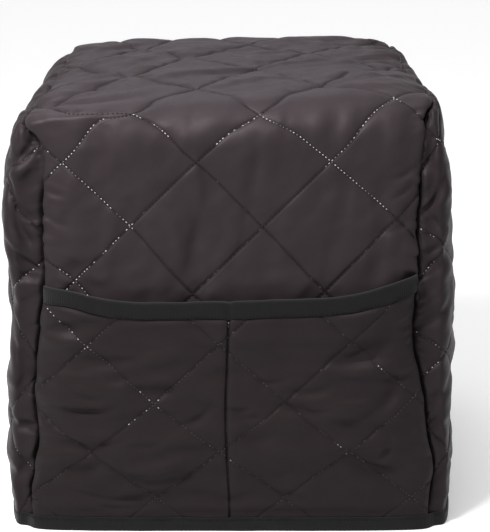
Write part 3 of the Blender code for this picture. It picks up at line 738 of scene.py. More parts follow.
def side_relief(across, up, side):
    """Quilting, folds and puckers of a side panel."""
    y, z = side_lengths(across, up, side)
    seed = SIDE_SEEDS[side]
    column, row = side_quilting(y, z, side)
    body = 1 + 0.25 * noise(y / BODY_REACH, z / BODY_REACH, seed + 2)
    relief = SIDE_PUFF * padding(column, row) * body - LINE_SINK
    relief += SIDE_GATHERS * gathers(column, row, seed + 3)
    relief = folded(relief, SIDE_FOLDS[side], y, z)
    relief = wrinkled(relief, SIDE_WRINKLES, y, z, {"all": 1.0}, seed)
    from_back = SIDE_ARCS[side][1][-1] - y
    from_top = SIDE_ARCS[side][3][-1] - z
    for distance, along, offset in ((y, z, 0), (from_back, z, 30), (from_top, y, 60)):
        gathered = SEAM_PUCKERS * puckers(along, distance, offset, seed + 8)
        relief += gathered * np.exp(-distance / SIDE_PUCKER_REACH)
    edge = np.minimum(np.minimum(y, from_back), from_top)
    above_hem = ramp(z, *SIDE_HEM_RISE)
    front_depth = seam_depth(np.interp(up * SIDE_ROWS, FINE_ROWS, FINE_LENGTHS), side)
    dip = front_depth * np.exp(-y / SEAM_DIP_REACH) + 0.8 * np.exp(-from_back / SEAM_DIP_REACH)
    dip = np.maximum(dip, 0.4 * np.exp(-from_top / SEAM_DIP_REACH))
    return relief * ramp(edge, *SIDE_EDGE) * above_hem - SEAM_DIP * dip * above_hem


def side_skin(across, up, side, depth):
    """A side panel's swollen shape, without its relief."""
    points, top_out = side_frame(across, up, side, depth)
    round_across = np.sqrt(np.clip(1 - np.abs(2 * across - 1) ** SIDE_ROUNDNESS, 0, 1))
    round_up = np.sqrt(np.clip(1 - up**SIDE_TOP_ROUNDNESS, 0, 1))
    swell = smooth_table(SIDE_SWELL, 1 if side < 0 else 2, up) * round_across
    swell = swell * (1 - SIDE_TAPER[side] * across * up)
    swell = top_out * up + (swell - top_out * up) * round_up
    off_middle = (across - ROLL_MIDDLE) / ROLL_WIDTH
    roll = FRONT_ROLL * ramp(across, 0, ROLL_MIDDLE) * np.exp(-(off_middle**2)) * round_up
    points[..., 0] += swell
    points[..., 1] -= roll
    return points


def side_outer(across, up, side):
    """A side panel's outer face."""

    def skin(a, b):
        return side_skin(np.clip(a, 0, 1), np.clip(b, 0, 1), side, 0.0)

    points = raised(skin, across, up, side_relief(across, up, side), 0.0010, 0.0010)
    points[..., 0] *= side
    return lean(points)


def side_inner(across, up, side):
    """A side panel's inner face."""
    points = side_skin(across, up, side, PANEL_THICKNESS)
    points[..., 0] *= side
    return lean(points)


def mouth_height(x):
    """Height of the pocket's mouth, which climbs to the side seams."""
    return smooth_table(POCKET_MOUTH, 1, x)


def pocket_gape(x, height):
    """Room between the front and the pocket, closed at the seams, the divider and the hem."""
    reach = x / half_width(height, x)
    below_tape = mouth_height(x) - MOUTH_TAPE_WIDTH
    share = np.clip(height / below_tape, 0, 1)
    middle = smooth_table(DIVIDER_PATH, 1, height)
    divider = 1 - DIVIDER_DEPTH * np.exp(-(((x - middle) / DIVIDER_WIDTH) ** 2))
    side_seam = np.clip(1 - np.abs(reach) ** GAPE_ROUNDNESS, 0, 1)
    under_tape = (TAPE_THICKNESS + 2 * SEAT_GAP) * ramp(share, *TAPE_ROOM_RISE)
    return 2 * SEAT_GAP + under_tape + POCKET_GAPE * divider * side_seam * ramp(share, *GAPE_RISE)


def pocket_point(x, height, outward):
    """A point on or off the pocket's inner face. Height is measured along the strip."""
    return strip_point(x, height, pocket_gape(x, height) + outward)


def pocket_x(share, height):
    """x at a share of the pocket's half width."""
    return share * (half_width(height, share) - POCKET_EDGE_INSET)


def pocket_height(share, up):
    """Height at a share of the way from the hem to the mouth."""
    x = pocket_x(share, MIDDLE_MOUTH)
    return HEM_CLEARANCE + up * (mouth_height(x) - HEM_CLEARANCE)


def pocket_quilting(x, height):
    """Column and row of the pocket's quilting at a place, from a crossing."""
    row = np.interp(height, FINE_POCKET_HEIGHTS, FINE_POCKET_ROWS)
    return x / COLUMN_STEP - POCKET_CROSSING_COLUMN, row


def pocket_relief(x, height):
    """Quilting, folds and puckers of the pocket, and the groove of its dividing seam."""
    column, row = pocket_quilting(x, height)
    body = 1 + 0.2 * noise(x / POCKET_BODY_REACH, height / POCKET_BODY_REACH, 103)
    relief = POCKET_PUFF * padding(column, row) * body
    relief += POCKET_GATHERS * gathers(column, row, 104)
    relief = folded(relief, POCKET_FOLDS, x, height, POCKET_FOLD_SHARE)
    relief = wrinkled(relief, POCKET_WRINKLES, x, height, {"all": 1.0})
    from_seam = half_width(height, x) - np.abs(x)
    gathered = POCKET_PUCKERS * puckers(height, from_seam, 40 * (x > 0), 107)
    relief += gathered * np.exp(-from_seam / POCKET_PUCKER_REACH)
    mouth = mouth_height(x)
    shown = ramp(height, *POCKET_HEM_RISE) * (1 - ramp(height, mouth - 0.016, mouth - 0.011))
    relief = relief * shown * ramp(from_seam, *POCKET_EDGE)
    off = np.abs(x - smooth_table(DIVIDER_PATH, 1, height))
    below = 1 - ramp(height, *GROOVE_ENDS)
    ripple = noise(height / GROOVE_PUCKER_LENGTH, off / 0.02 + 9, 108)
    ripple = ripple * np.exp(-off / GROOVE_PUCKER_REACH) * (1 - np.exp(-off / GROOVE_PUCKER_START))
    relief += GROOVE_PUCKERS * ripple * below
    return relief - GROOVE_DEPTH * np.exp(-((off / GROOVE_WIDTH) ** 2)) * below


def pocket_face(x, height):
    """A point of the pocket's outer face."""
    return lean(pocket_point(x, height, POCKET_THICKNESS + pocket_relief(x, height)))


def pocket_outer(share, up):
    """The pocket's outer face."""
    height = pocket_height(share, up)
    return pocket_face(pocket_x(share, height), height)


def pocket_inner(share, up):
    """The pocket's inner face."""
    height = pocket_height(share, up)
    return lean(pocket_point(pocket_x(share, height), height, 0.0))


# The strip's arc is measured with this half width at this length, and the sides' at these shares
ARC_HALF_WIDTH = 0.152
ARC_PLACE = 0.30
ARC_UP = 0.6
ARC_ACROSS = 0.3


def strip_arc():
    """Shares of the strip's half width, and the length over its swell at each."""
    share = np.sin(np.linspace(0, math.pi / 2, 1500))
    x = share * ARC_HALF_WIDTH
    swell = strip_swell(np.full_like(x, ARC_PLACE), share)
    return share, line_lengths(np.stack([x, swell], -1))


def side_arcs(side):
    """The same for a side panel, across it and up it."""
    across = (1 - np.cos(np.linspace(0, math.pi, 3000))) / 2
    up = np.sin(np.linspace(0, math.pi / 2, 1500))
    across_line = side_skin(across, np.full_like(across, ARC_UP), side, 0.0)
    up_line = side_skin(np.full_like(up, ARC_ACROSS), up, side, 0.0)
    return across, line_lengths(across_line), up, line_lengths(up_line)


STRIP_ARC = strip_arc()
SIDE_ARCS = {side: side_arcs(side) for side in (-1, 1)}


def even_steps(start, end, cell):
    """Places from start to end, about a cell apart."""
    return np.linspace(start, end, int(round((end - start) / cell)) + 1)


def joined_steps(*parts):
    """Several runs of places, each ending where the next starts."""
    return np.concatenate([part[:-1] for part in parts[:-1]] + [parts[-1]])


def strip_columns():
    """Shares of the half width from seam to seam, even over the cloth and closer beside the seams."""
    half = STRIP_ARC[1][-1]
    places = beside_seams(half)
    share = np.interp(places, STRIP_ARC[1], STRIP_ARC[0])
    return np.concatenate([-share[:0:-1], share])


def beside_seams(length):
    """Lengths from 0 to a seam, closer together at the seam."""
    last = np.array(LAST_STEPS)
    return np.concatenate([even_steps(0, length - last[0], CELL)[:-1], length - last])


def ordered_mesh(name, points, faces, **layers):
    """A mesh object from arrays, with its flat coordinates in named layers."""
    mesh = bpy.data.meshes.new(name)
    mesh.from_pydata(points.tolist(), [], faces)
    corners = np.zeros(len(mesh.loops), np.int32)
    mesh.loops.foreach_get("vertex_index", corners)
    for word, places in layers.items():
        layer = mesh.uv_layers.new(name=word)
        layer.data.foreach_set("uv", places[corners].astype(np.float32).ravel())
    mesh.shade_smooth()
    return placed(name, mesh)


def quads_of(index, flip):
    """Faces over a grid of vertex numbers."""
    a = index[:-1, :-1]
    b = index[:-1, 1:]
    c = index[1:, 1:]
    d = index[1:, :-1]
    faces = np.stack([d, c, b, a] if flip else [a, b, c, d], -1)
    return faces.reshape(-1, 4).tolist()


def coarse_places(count, skip):
    """Every few numbers of a count, with the last."""
    places = list(range(0, count - 1, skip))
    if count - 1 - places[-1] < skip / 2 and len(places) > 1:
        places.pop()
    return np.array(places + [count - 1])


def cloth_shell(name, outer, inner, quilting, columns, rows, flat, flip=False):
    """A closed sheet: a fine outer face and a coarse inner face, joined round the edge."""
    column, row = np.meshgrid(columns, rows)
    outside = outer(column, row)
    few_rows = coarse_places(len(rows), INNER_SKIP)
    few_columns = coarse_places(len(columns), INNER_SKIP)
    inside = inner(column[np.ix_(few_rows, few_columns)], row[np.ix_(few_rows, few_columns)])
    top = np.arange(outside.shape[0] * outside.shape[1]).reshape(outside.shape[:2])
    under = top.size + np.arange(inside.shape[0] * inside.shape[1]).reshape(inside.shape[:2])
    faces = quads_of(top, flip) + quads_of(under, not flip)
    edges = (
        (top[0, :], under[0, :], few_columns),
        (top[:, -1], under[:, -1], few_rows),
        (top[-1, ::-1], under[-1, ::-1], len(columns) - 1 - few_columns[::-1]),
        (top[::-1, 0], under[::-1, 0], len(rows) - 1 - few_rows[::-1]),
    )
    for fine, coarse, places in edges:
        for k in range(len(coarse) - 1):
            start = places[k]
            end = places[k + 1]
            middle = (start + end) // 2
            near = int(coarse[k])
            far = int(coarse[k + 1])
            fan = [(int(fine[m + 1]), int(fine[m]), near) for m in range(start, middle)]
            fan += [(int(fine[m + 1]), int(fine[m]), far) for m in range(middle, end)]
            fan.append((int(fine[middle]), near, far))
            faces += [face[::-1] for face in fan] if flip else fan
    layers = {}
    line_column, line_row = quilting(column, row)
    lines = np.stack([line_column + line_row, line_column - line_row], -1) / STEPS
    cloth = np.stack([column * flat[0], row * flat[1]], -1)
    for word, places in (("cloth", cloth), ("lines", lines)):
        few = places[np.ix_(few_rows, few_columns)]
        layers[word] = np.concatenate([places.reshape(-1, 2), few.reshape(-1, 2)])
    points = np.concatenate([outside.reshape(-1, 3), inside.reshape(-1, 3)])
    return ordered_mesh(name, points, faces, **layers)


def set_inputs(made, **settings):
    """Set a node's inputs by their names."""
    for key, value in settings.items():
        made.inputs[key.replace("_", " ")].default_value = value


def node(tree, kind, **settings):
    """A shader node with its inputs set."""
    made = tree.nodes.new(kind)
    set_inputs(made, **settings)
    return made


def fed(tree, kind, socket, source, **settings):
    """The same, with one input linked."""
    made = node(tree, kind, **settings)
    tree.links.new(source, made.inputs[socket])
    return made


def new_finish(name, space):
    """A material, its tree, its shader and the places over the cloth."""
    finish = bpy.data.materials.new(name)
    finish.use_nodes = True
    tree = finish.node_tree
    return finish, tree, tree.nodes["Principled BSDF"], tree.nodes.new("ShaderNodeTexCoord").outputs[space]


def speckle(tree, place, **settings):
    """Noise over the cloth."""
    return fed(tree, "ShaderNodeTexNoise", "Vector", place, **settings).outputs["Fac"]


def colour_steps(tree, source, *stops):
    """A colour ramp from a grey value."""
    steps = tree.nodes.new("ShaderNodeValToRGB")
    elements = steps.color_ramp.elements
    while len(elements) < len(stops):
        elements.new(0.5)
    for element, (place, colour) in zip(elements, stops):
        element.position = place
        element.color = (*colour, 1.0)
    tree.links.new(source, steps.inputs["Fac"])
    return steps.outputs["Color"]


def bump(tree, height, strength, distance, before=None):
    """A bump node, laid over another one."""
    made = fed(tree, "ShaderNodeBump", "Height", height, Strength=strength, Distance=distance)
    if before is not None:
        tree.links.new(before, made.inputs["Normal"])
    return made.outputs["Normal"]


def bands(tree, place, axis, scale):
    """Even threads or ribs across an axis of the cloth."""
    wave = fed(tree, "ShaderNodeTexWave", "Vector", place, Scale=scale, Distortion=0.0)
    wave.wave_type = "BANDS"
    wave.bands_direction = axis
    wave.wave_profile = "SIN"
    return wave.outputs["Fac"]


def away_from_lines(tree):
    """Distance in metres from the nearest line of quilting stitches."""
    layer = tree.nodes.new("ShaderNodeUVMap")
    layer.uv_map = "lines"
    parts = tree.nodes.new("ShaderNodeSeparateXYZ")
    tree.links.new(layer.outputs["UV"], parts.inputs["Vector"])
    steps = (("ADD", 0.5), ("FRACT", 0.0), ("SUBTRACT", 0.5), ("ABSOLUTE", 0.0), ("MULTIPLY", LINE_SPACING))
    both = []
    for axis in "XY":
        value = parts.outputs[axis]
        for step, number in steps:
            value = maths(tree, step, value, number)
        both.append(value)
    return maths(tree, "MINIMUM", *both)


def maths(tree, step, first, second):
    """A maths node on a value and a number or another value."""
    made = tree.nodes.new("ShaderNodeMath")
    made.operation = step
    tree.links.new(first, made.inputs[0])
    if isinstance(second, float):
        made.inputs[1].default_value = second
    else:
        tree.links.new(second, made.inputs[1])
    return made.outputs[0]


def graded(tree, value, start, end, low, high, way="SMOOTHSTEP"):
    """A value carried from one range to another."""
    made = fed(
        tree, "ShaderNodeMapRange", "Value", value, From_Min=start, From_Max=end, To_Min=low, To_Max=high
    )
    made.interpolation_type = way
    return made.outputs["Result"]


def cloth_material(name, dark, light, rough, sheen, specular, painted_groove_shade):
    """Plain woven polyester: fine crossing threads, a satin sheen, and a crease along each quilting line,
    bumped and darkened with painted shade.
    """
    finish, tree, shader, uv = new_finish(name, "UV")
    mottle = speckle(tree, uv, Scale=38.0, Detail=5.0, Roughness=0.6)
    tone = colour_steps(tree, mottle, (0.30, dark), (0.72, light))
    away = away_from_lines(tree)
    # The colour darkens towards each quilting line: painted shade in the crease
    shaded = tree.nodes.new("ShaderNodeVectorMath")
    shaded.operation = "SCALE"
    tree.links.new(tone, shaded.inputs["Vector"])
    tree.links.new(graded(tree, away, *CREASE_SHADE, painted_groove_shade, 1.0), shaded.inputs["Scale"])
    tree.links.new(shaded.outputs["Vector"], shader.inputs["Base Color"])
    fine = speckle(tree, uv, Scale=520.0, Detail=3.0, Roughness=0.7)
    spread = graded(tree, fine, 0.3, 0.7, rough - ROUGH_SPREAD, rough + ROUGH_SPREAD, "LINEAR")
    tree.links.new(spread, shader.inputs["Roughness"])
    set_inputs(
        shader,
        Sheen_Weight=sheen,
        Sheen_Roughness=0.35,
        Sheen_Tint=(0.85, 0.72, 0.85, 1.0),
        Specular_IOR_Level=specular,
        Specular_Tint=(1.0, 0.86, 0.95, 1.0),
    )
    warp = bump(tree, bands(tree, uv, "X", THREAD_SCALE), WEAVE_DEPTH, 0.0002)
    weft = bump(tree, bands(tree, uv, "Y", THREAD_SCALE * 0.9), WEAVE_DEPTH, 0.0002, warp)
    slub = bump(tree, fine, WEAVE_DEPTH, 0.0003, weft)
    crease = bump(tree, graded(tree, away, *CREASE_BUMP, 0.0, 1.0), 0.6, 0.0008, slub)
    tree.links.new(crease, shader.inputs["Normal"])
    return finish


def tape_material(name, dark, light):
    """Ribbed binding tape."""
    finish, tree, shader, uv = new_finish(name, "UV")
    mottle = speckle(tree, uv, Scale=60.0, Detail=4.0, Roughness=0.6)
    tree.links.new(colour_steps(tree, mottle, (0.30, dark), (0.72, light)), shader.inputs["Base Color"])
    ribs = bands(tree, uv, "X", RIB_SCALE)
    tree.links.new(graded(tree, ribs, 0.0, 1.0, 0.92, 0.72, "LINEAR"), shader.inputs["Roughness"])
    set_inputs(shader, Sheen_Weight=0.15, Specular_IOR_Level=0.15)
    across = bump(tree, ribs, 0.35, 0.0003)
    rows = bump(tree, bands(tree, uv, "Y", RIB_ROW_SCALE), 0.25, 0.0002, across)
    tree.links.new(rows, shader.inputs["Normal"])
    return finish


def thread_material(name, dark, light):
    """Twisted sewing thread."""
    finish, tree, shader, place = new_finish(name, "Object")
    mottle = speckle(tree, place, Scale=240.0, Detail=2.0)
    tree.links.new(colour_steps(tree, mottle, (0.35, dark), (0.65, light)), shader.inputs["Base Color"])
    set_inputs(shader, Roughness=0.6, Specular_IOR_Level=0.2)
    twist = speckle(tree, place, Scale=2600.0, Detail=1.0)
    tree.links.new(bump(tree, twist, 0.4, 0.0002), shader.inputs["Normal"])
    return finish


# Threads and ribs for each metre, depth of the weave, and how much the roughness varies
THREAD_SCALE = 600.0
RIB_SCALE = 180.0
RIB_ROW_SCALE = 300.0
WEAVE_DEPTH = 0.15
ROUGH_SPREAD = 0.06

# Distances from a quilting line over which the painted shade of its crease fades and the cloth grows lighter,
# and its crease comes up
CREASE_SHADE = (0.0002, 0.0018)
CREASE_BUMP = (0.0, 0.0026)

# Cloths: dark and light colour, roughness, sheen, specular level, painted shade in the creases
QUILTED = cloth_material(
    "quilted_satin", (0.0225, 0.0174, 0.0188), (0.0275, 0.0214, 0.0232), 0.46, 0.05, 0.14, 0.62
)
# The sides' satin is the strip's cloth made darker: painted shade on the sides
SIDE_SATIN_PAINTED_SHADE = cloth_material(
    "side_satin_painted_shade", (0.0180, 0.0140, 0.0148), (0.0220, 0.0172, 0.0182), 0.48, 0.04, 0.11, 0.72
)
# The pocket's satin is the strip's cloth made darker: painted shade on the lower front
POCKET_SATIN_PAINTED_SHADE = cloth_material(
    "pocket_satin_painted_shade", (0.0160, 0.0124, 0.0129), (0.0200, 0.0156, 0.0161), 0.50, 0.02, 0.10, 0.93
)
TAPE = tape_material("ribbed_tape", (0.0018, 0.0022, 0.0018), (0.0032, 0.0038, 0.0031))
HEM_TAPE = tape_material("hem_tape_weave", (0.0054, 0.0048, 0.0046), (0.0084, 0.0076, 0.0073))
THREAD_TAPE = thread_material("thread_tape", (0.0012, 0.0012, 0.0011), (0.0024, 0.0023, 0.0022))
# Pale threads for the stitches that catch the light: painted highlight
THREAD_PAINTED_HIGHLIGHT = thread_material("thread_painted_highlight", (0.36, 0.34, 0.35), (0.52, 0.50, 0.51))
THREAD_PAINTED_HALF_HIGHLIGHT = thread_material("thread_painted_half_highlight", (0.11, 0.10, 0.105), (0.18, 0.17, 0.175))
THREAD_FAINT = thread_material("thread_faint", (0.040, 0.036, 0.037), (0.075, 0.068, 0.070))
# Near-black thread: partly the thread's own dark colour, partly painted shade of the sunken stitches
THREAD_DARK_PAINTED_SHADE = thread_material("thread_dark_painted_shade", (0.0030, 0.0026, 0.0028), (0.0060, 0.0053, 0.0056))


def dress(piece, material, slot, *nodes):
    """Give a piece its finish, set it to ride on the root, and hide the CAD parts that it replaces."""
    piece.data.materials.append(material)
    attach(piece, "root")
    if nodes:
        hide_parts(*nodes)
    return piece


def make_strip():
    """Front, top and back in one sheet."""
    rows = joined_steps(
        even_steps(FIRST_LENGTH, STRIP_SHOWN, HIDDEN_CELL),
        even_steps(STRIP_SHOWN, STRIP_BACK, CELL),
        even_steps(STRIP_BACK, LAST_LENGTH, BACK_CELL),
    )

    def quilting(share, s):
        return strip_quilting(share * half_width(s, share), s)

    strip = cloth_shell(
        "strip_cloth", strip_outer, strip_inner, quilting, strip_columns(), rows, (0.16, 1.0)
    )
    dress(strip, QUILTED, "quilted_cloth", "body_strip")


def make_sides():
    """The two side panels."""
    names = {-1: ("side_cloth_left", "side_left"), 1: ("side_cloth_right", "side_right")}
    for side, (name, node_name) in names.items():
        width = SIDE_ARCS[side][1][-1]
        halves = beside_seams(width / 2)
        lengths = np.concatenate([width / 2 - halves[:0:-1], width / 2 + halves])
        across = side_shares(lengths, 0.0, side)[0]
        up = side_shares(0.0, beside_seams(SIDE_ARCS[side][3][-1]), side)[1]
        piece = cloth_shell(
            name,
            lambda a, b: side_outer(a, b, side),
            lambda a, b: side_inner(a, b, side),
            lambda a, b: side_quilting(*side_lengths(a, b, side), side),
            across,
            up,
            (0.306, 0.358),
            flip=side < 0,
        )
        dress(piece, SIDE_SATIN_PAINTED_SHADE, "quilted_cloth", node_name)


def make_pocket():
    """The divided pocket on the front."""
    up = even_steps(0, 1, CELL / 0.21)
    beside_divider = even_steps(*DIVIDER_SPAN, DIVIDER_CELL) / 0.160
    columns = strip_columns()
    clear = (columns < beside_divider[0] - 0.002) | (columns > beside_divider[-1] + 0.002)
    columns = np.sort(np.concatenate([columns[clear], beside_divider]))

    def quilting(share, up):
        height = pocket_height(share, up)
        return pocket_quilting(pocket_x(share, height), height)

    pocket = cloth_shell("pocket_cloth", pocket_outer, pocket_inner, quilting, columns, up, (0.165, 0.21))
    dress(pocket, POCKET_SATIN_PAINTED_SHADE, "pocket_cloth", "pocket")


# Tapes: full flat width, height of the ribs and of the bulge between the edges, and where the seam lies
TAPE_FLAT_WIDTH = 0.034
RIB_HEIGHT = 0.00010
MOUTH_RIB_PITCH = 0.0021
HEM_RIB_PITCH = 0.0033
TAPE_BULGE = 0.0003
TAPE_SEAM = 0.86
TAPE_STITCH_WIDTH = 0.0008


def tape_mesh(name, lines, along, material, node_name, loop):
    """A folded tape from the lines along it: a closed loop, or a run with flat ends."""
    grid = np.stack(lines, 0)
    index = np.arange(grid.shape[0] * grid.shape[1]).reshape(grid.shape[:2])
    closed = np.concatenate([index, index[:1]], 0)
    if loop:
        faces = quads_of(np.concatenate([closed, closed[:, :1]], 1), False)
    else:
        faces = quads_of(closed, True) + [index[:, 0].tolist(), index[::-1, -1].tolist()]
    lengths = np.linspace(0, TAPE_FLAT_WIDTH, grid.shape[0])
    uv = np.stack(np.broadcast_arrays(along[None, :], lengths[:, None]), -1).reshape(-1, 2)
    tape = ordered_mesh(name, grid.reshape(-1, 3), faces, cloth=uv)
    tape.data.set_sharp_from_angle(angle=math.radians(50))
    return dress(tape, material, "binding_tape", node_name)


def make_mouth_tape():
    """The tape folded over the pocket's mouth, with the row of stitches that holds it."""
    x_left = -half_width(0.215, -1) + POCKET_EDGE_INSET
    x_right = half_width(0.215, 1) - POCKET_EDGE_INSET
    x = even_steps(float(x_left), float(x_right), TAPE_CELL)
    mouth = mouth_height(x) + 0.0003 * waver(x, 0.020, 201)
    mouth = mouth - 0.0012 * np.exp(-(((x + 0.001) / 0.003) ** 2))
    width = MOUTH_TAPE_WIDTH + 0.0016 * ramp(x, 0.09, 0.13) + 0.0004 * waver(x, 0.025, 203)
    clear = SEAT_GAP
    full = SEAT_GAP + TAPE_THICKNESS
    half = POCKET_THICKNESS / 2
    front = POCKET_THICKNESS + full
    above = clear / MOUTH_TAPE_WIDTH
    # Section: share of the width from the mouth, distance from the pocket's inner face
    section = [(-1.0, POCKET_THICKNESS + 0.0002), (-1.0, POCKET_THICKNESS + 0.6 * full)]
    section += [(-1.0 + 0.1 * k, front + TAPE_BULGE * math.sin(math.pi * k / 10)) for k in range(0, 10)]
    for angle in np.linspace(0.15, math.pi - 0.15, 9):
        section.append((full / MOUTH_TAPE_WIDTH * math.sin(angle), half + (half + full) * math.cos(angle)))
    section += [(-0.2, -full), (-0.6, -full), (-1.0, -full), (-1.0, -clear), (-0.5, -clear)]
    section += [(above, -clear), (above, POCKET_THICKNESS + clear), (-0.5, POCKET_THICKNESS + clear)]
    ribs = RIB_HEIGHT * np.sin(2 * math.pi * x / MOUTH_RIB_PITCH)
    lines = []
    for share, outward in section:
        outer = outward > POCKET_THICKNESS + clear + 0.0001
        wobble = 0.00025 * waver(x, 0.014, 202, share * 2) + ribs if outer else 0.0
        lines.append(lean(pocket_point(x, mouth + share * width, outward + wobble)))
    tape = tape_mesh("mouth_tape", lines, x, TAPE, "pocket_binding", False)
    picked = np.arange(4, len(x) - 4, 4)
    line, higher = (
        lean(pocket_point(x, mouth - share * width, front + TAPE_BULGE))
        for share in (TAPE_SEAM, TAPE_SEAM - 0.1)
    )
    along = unit(np.gradient(line, axis=0))
    out = unit(np.cross(along, higher - line))
    stitch_mesh(
        "mouth_stitches", line[picked], along[picked], out[picked], 0.0018, TAPE_STITCH_WIDTH,
        THREAD_TAPE, "binding_tape",
    )


def smooth_loop(values, spread):
    """A closed loop of values, smoothed along itself."""
    reach = np.arange(-3 * spread, 3 * spread + 1)
    weights = np.exp(-0.5 * (reach / spread) ** 2)
    weights /= weights.sum()
    return sum(weight * np.roll(values, int(shift), axis=0) for shift, weight in zip(reach, weights))


def hem_outline():
    """The outline of the cloths at the hem, in even steps, and the length along it at each."""
    share = np.linspace(-1, 1, 400)
    across = np.linspace(0, 1, 400)[1:-1]
    front = pocket_point(pocket_x(share, 0.002), np.full_like(share, 0.002), POCKET_THICKNESS)
    right = side_skin(across, np.zeros_like(across), 1, 0.0)
    back = strip_point(-share * half_width(LAST_LENGTH, 1), np.full_like(share, LAST_LENGTH), 0.0)
    left = side_skin(across[::-1], np.zeros_like(across), -1, 0.0)
    left[:, 0] *= -1
    outline = np.concatenate([front, right, back, left])[:, :2]
    kept = np.concatenate([[True], np.linalg.norm(np.diff(outline, axis=0), axis=1) > 1e-6])
    outline = outline[kept]
    closed = np.concatenate([outline, outline[:1]])
    length = line_lengths(closed)
    count = int(length[-1] / HEM_CELL)
    place = np.arange(count) * length[-1] / count
    outline = np.stack([np.interp(place, length, closed[:, k]) for k in range(2)], -1)
    return smooth_loop(outline, 2), place


def make_hem_tape():
    """The tape folded round the hem, with the row of stitches that holds it."""
    outline, place = hem_outline()
    count = len(place)
    ahead = unit(np.roll(outline, -1, axis=0) - np.roll(outline, 1, axis=0))
    out = unit(smooth_loop(np.stack([ahead[:, 1], -ahead[:, 0]], -1), 2))
    on_front = ramp(-outline[:, 1], 0.140, 0.152)
    wall = PANEL_THICKNESS + on_front * (POCKET_THICKNESS + 2 * SEAT_GAP)
    clear = SEAT_GAP
    full = SEAT_GAP + TAPE_THICKNESS
    width = HEM_TAPE_WIDTH + 0.0005 * waver(place, 0.030, 211)
    ribs = RIB_HEIGHT * np.sin(2 * math.pi * place / HEM_RIB_PITCH)
    # Section: share of the width from the floor, distance from the cloth's face, share of the cloth crossed
    section = [(1.0, clear, 0.0), (1.0, full * 0.7, 0.0)]
    section += [(1.0 - 0.11 * k, full + TAPE_BULGE * math.sin(math.pi * k / 9), 0.0) for k in range(1, 9)]
    section += [(0.04, full - 0.0002, 0.0), (0.0, full - 0.0008, 0.0), (0.0, 0.0, 0.5)]
    section += [(0.0, -full + 0.0008, 1.0), (0.04, -full + 0.0002, 1.0)]
    section += [(share, -full, 1.0) for share in (0.3, 0.6, 1.0)]
    section += [(share, -clear, 1.0) for share in (1.0, 0.5, 0.1)]
    section += [(0.1, clear, 0.0), (0.5, clear, 0.0)]
    lines = []
    for share, offset, inner in section:
        outer = offset > clear
        wobble = ribs + 0.0003 * waver(place, 0.018, 212, share * 2) if outer else 0.0
        flat = outline + out * (offset + wobble - inner * wall)[:, None]
        lines.append(lean(np.column_stack([flat, np.broadcast_to(share * width, (count,))])))
    tape = tape_mesh("hem_tape", lines, place, HEM_TAPE, "hem_binding", True)
    picked = np.arange(0, count - 1, 3)
    line = lean(np.column_stack([outline + out * (full + TAPE_BULGE), width * TAPE_SEAM]))
    along = np.column_stack([ahead, np.zeros(count)])
    outward = np.column_stack([out, np.zeros(count)])
    stitch_mesh(
        "hem_stitches", line[picked], along[picked], outward[picked], 0.0020, TAPE_STITCH_WIDTH,
        THREAD_TAPE, "binding_tape",
    )


# Runs of stitches that catch the light, drawn in pale thread as painted highlight: column and row of each end
# in the even quilting, share that does
LIGHT_RUNS = (
    (-7.5, 18, -5.7, 19.8, 0.9), (-8.4, 18.9, -7.5, 18, 0.7), (-8.2, 17.3, -7.5, 18, 0.8),
    (-7, 17.5, -4.5, 15, 0.85), (-4.2, 20.7, -2.9, 19.4, 0.8), (1.2, 20.7, -0.4, 19.1, 0.85),
    (1.7, 20.8, 4.5, 18, 1), (4.5, 18, 7.3, 20.8, 1), (4.9, 17.6, 6.9, 15.6, 0.9),
    (7.9, 20.6, 8.6, 19.9, 0.8), (-5.2, 14.3, -6.6, 12.9, 0.45), (-8, 12.5, -7, 11.5, 0.9),
    (-7, 12.5, -8, 11.5, 0.9),
)
POCKET_LIGHT_RUNS = (
    (-8.2, 10.7, -6.4, 8.9, 0.5), (-6.1, 10.4, -7.4, 9.1, 0.4), (-4.4, 6.9, -3.5, 6, 0.25),
    (-3.6, 6.1, -4.6, 5.1, 0.3), (-1.2, 3.6, -0.2, 2.6, 0.35), (5, 3.5, 6, 2.5, 0.35),
    (6.4, 7.6, 7.2, 8.2, 0.85),
)
SIDE_LIGHT_RUNS = {
    -1: ((0.1, 19.5, 0.5, 19.1, 0.7), (0.3, 13.3, 1.3, 12.3, 0.8), (0.2, 3.1, 1.2, 4.1, 0.8)),
    1: (
        (0.2, 18.8, 1.2, 19.8, 0.9),
        (0.2, 15.4, 0.6, 15.0, 0.5),
        (0.2, 12.8, 0.7, 13.3, 0.6),
        (0.1, 9.5, 0.8, 8.8, 0.6),
        (0.5, 7.1, 0.8, 7.4, 0.6),
    ),
}


def catching(column, row, runs, reach=0.32):
    """Share of the stitches that catch the light at each place."""
    shares = np.zeros(column.shape)
    for a, b, c, d, share in runs:
        span = (c - a) ** 2 + (d - b) ** 2
        t = np.clip(((column - a) * (c - a) + (row - b) * (d - b)) / span, 0, 1)
        near = np.hypot(column - a - t * (c - a), row - b - t * (d - b)) < reach
        shares = np.where(near, np.maximum(shares, share), shares)
    return shares


def lattice_lines(low, high, bottom, top, origin):
    """Places along both families of quilting lines in a patch, and each one's direction."""
    step = STITCH_PITCH / (COLUMN_STEP * math.sqrt(2))
    found = []
    for way in (1, -1):
        first = math.floor((low - origin[0] + way * (bottom - origin[1])) / STEPS) - 12
        for k in range(first, first + 36):
            column = np.arange(low, high, step)
            row = way * (k * STEPS - (column - origin[0])) + origin[1]
            inside = (row > bottom) & (row < top)
            if inside.any():
                found.append(np.column_stack([column[inside], row[inside], np.full(inside.sum(), -way)]))
    return np.concatenate(found)


THREADS = (("dark", THREAD_DARK_PAINTED_SHADE), ("faint", THREAD_FAINT), ("mid", THREAD_PAINTED_HALF_HIGHLIGHT), ("light", THREAD_PAINTED_HIGHLIGHT))


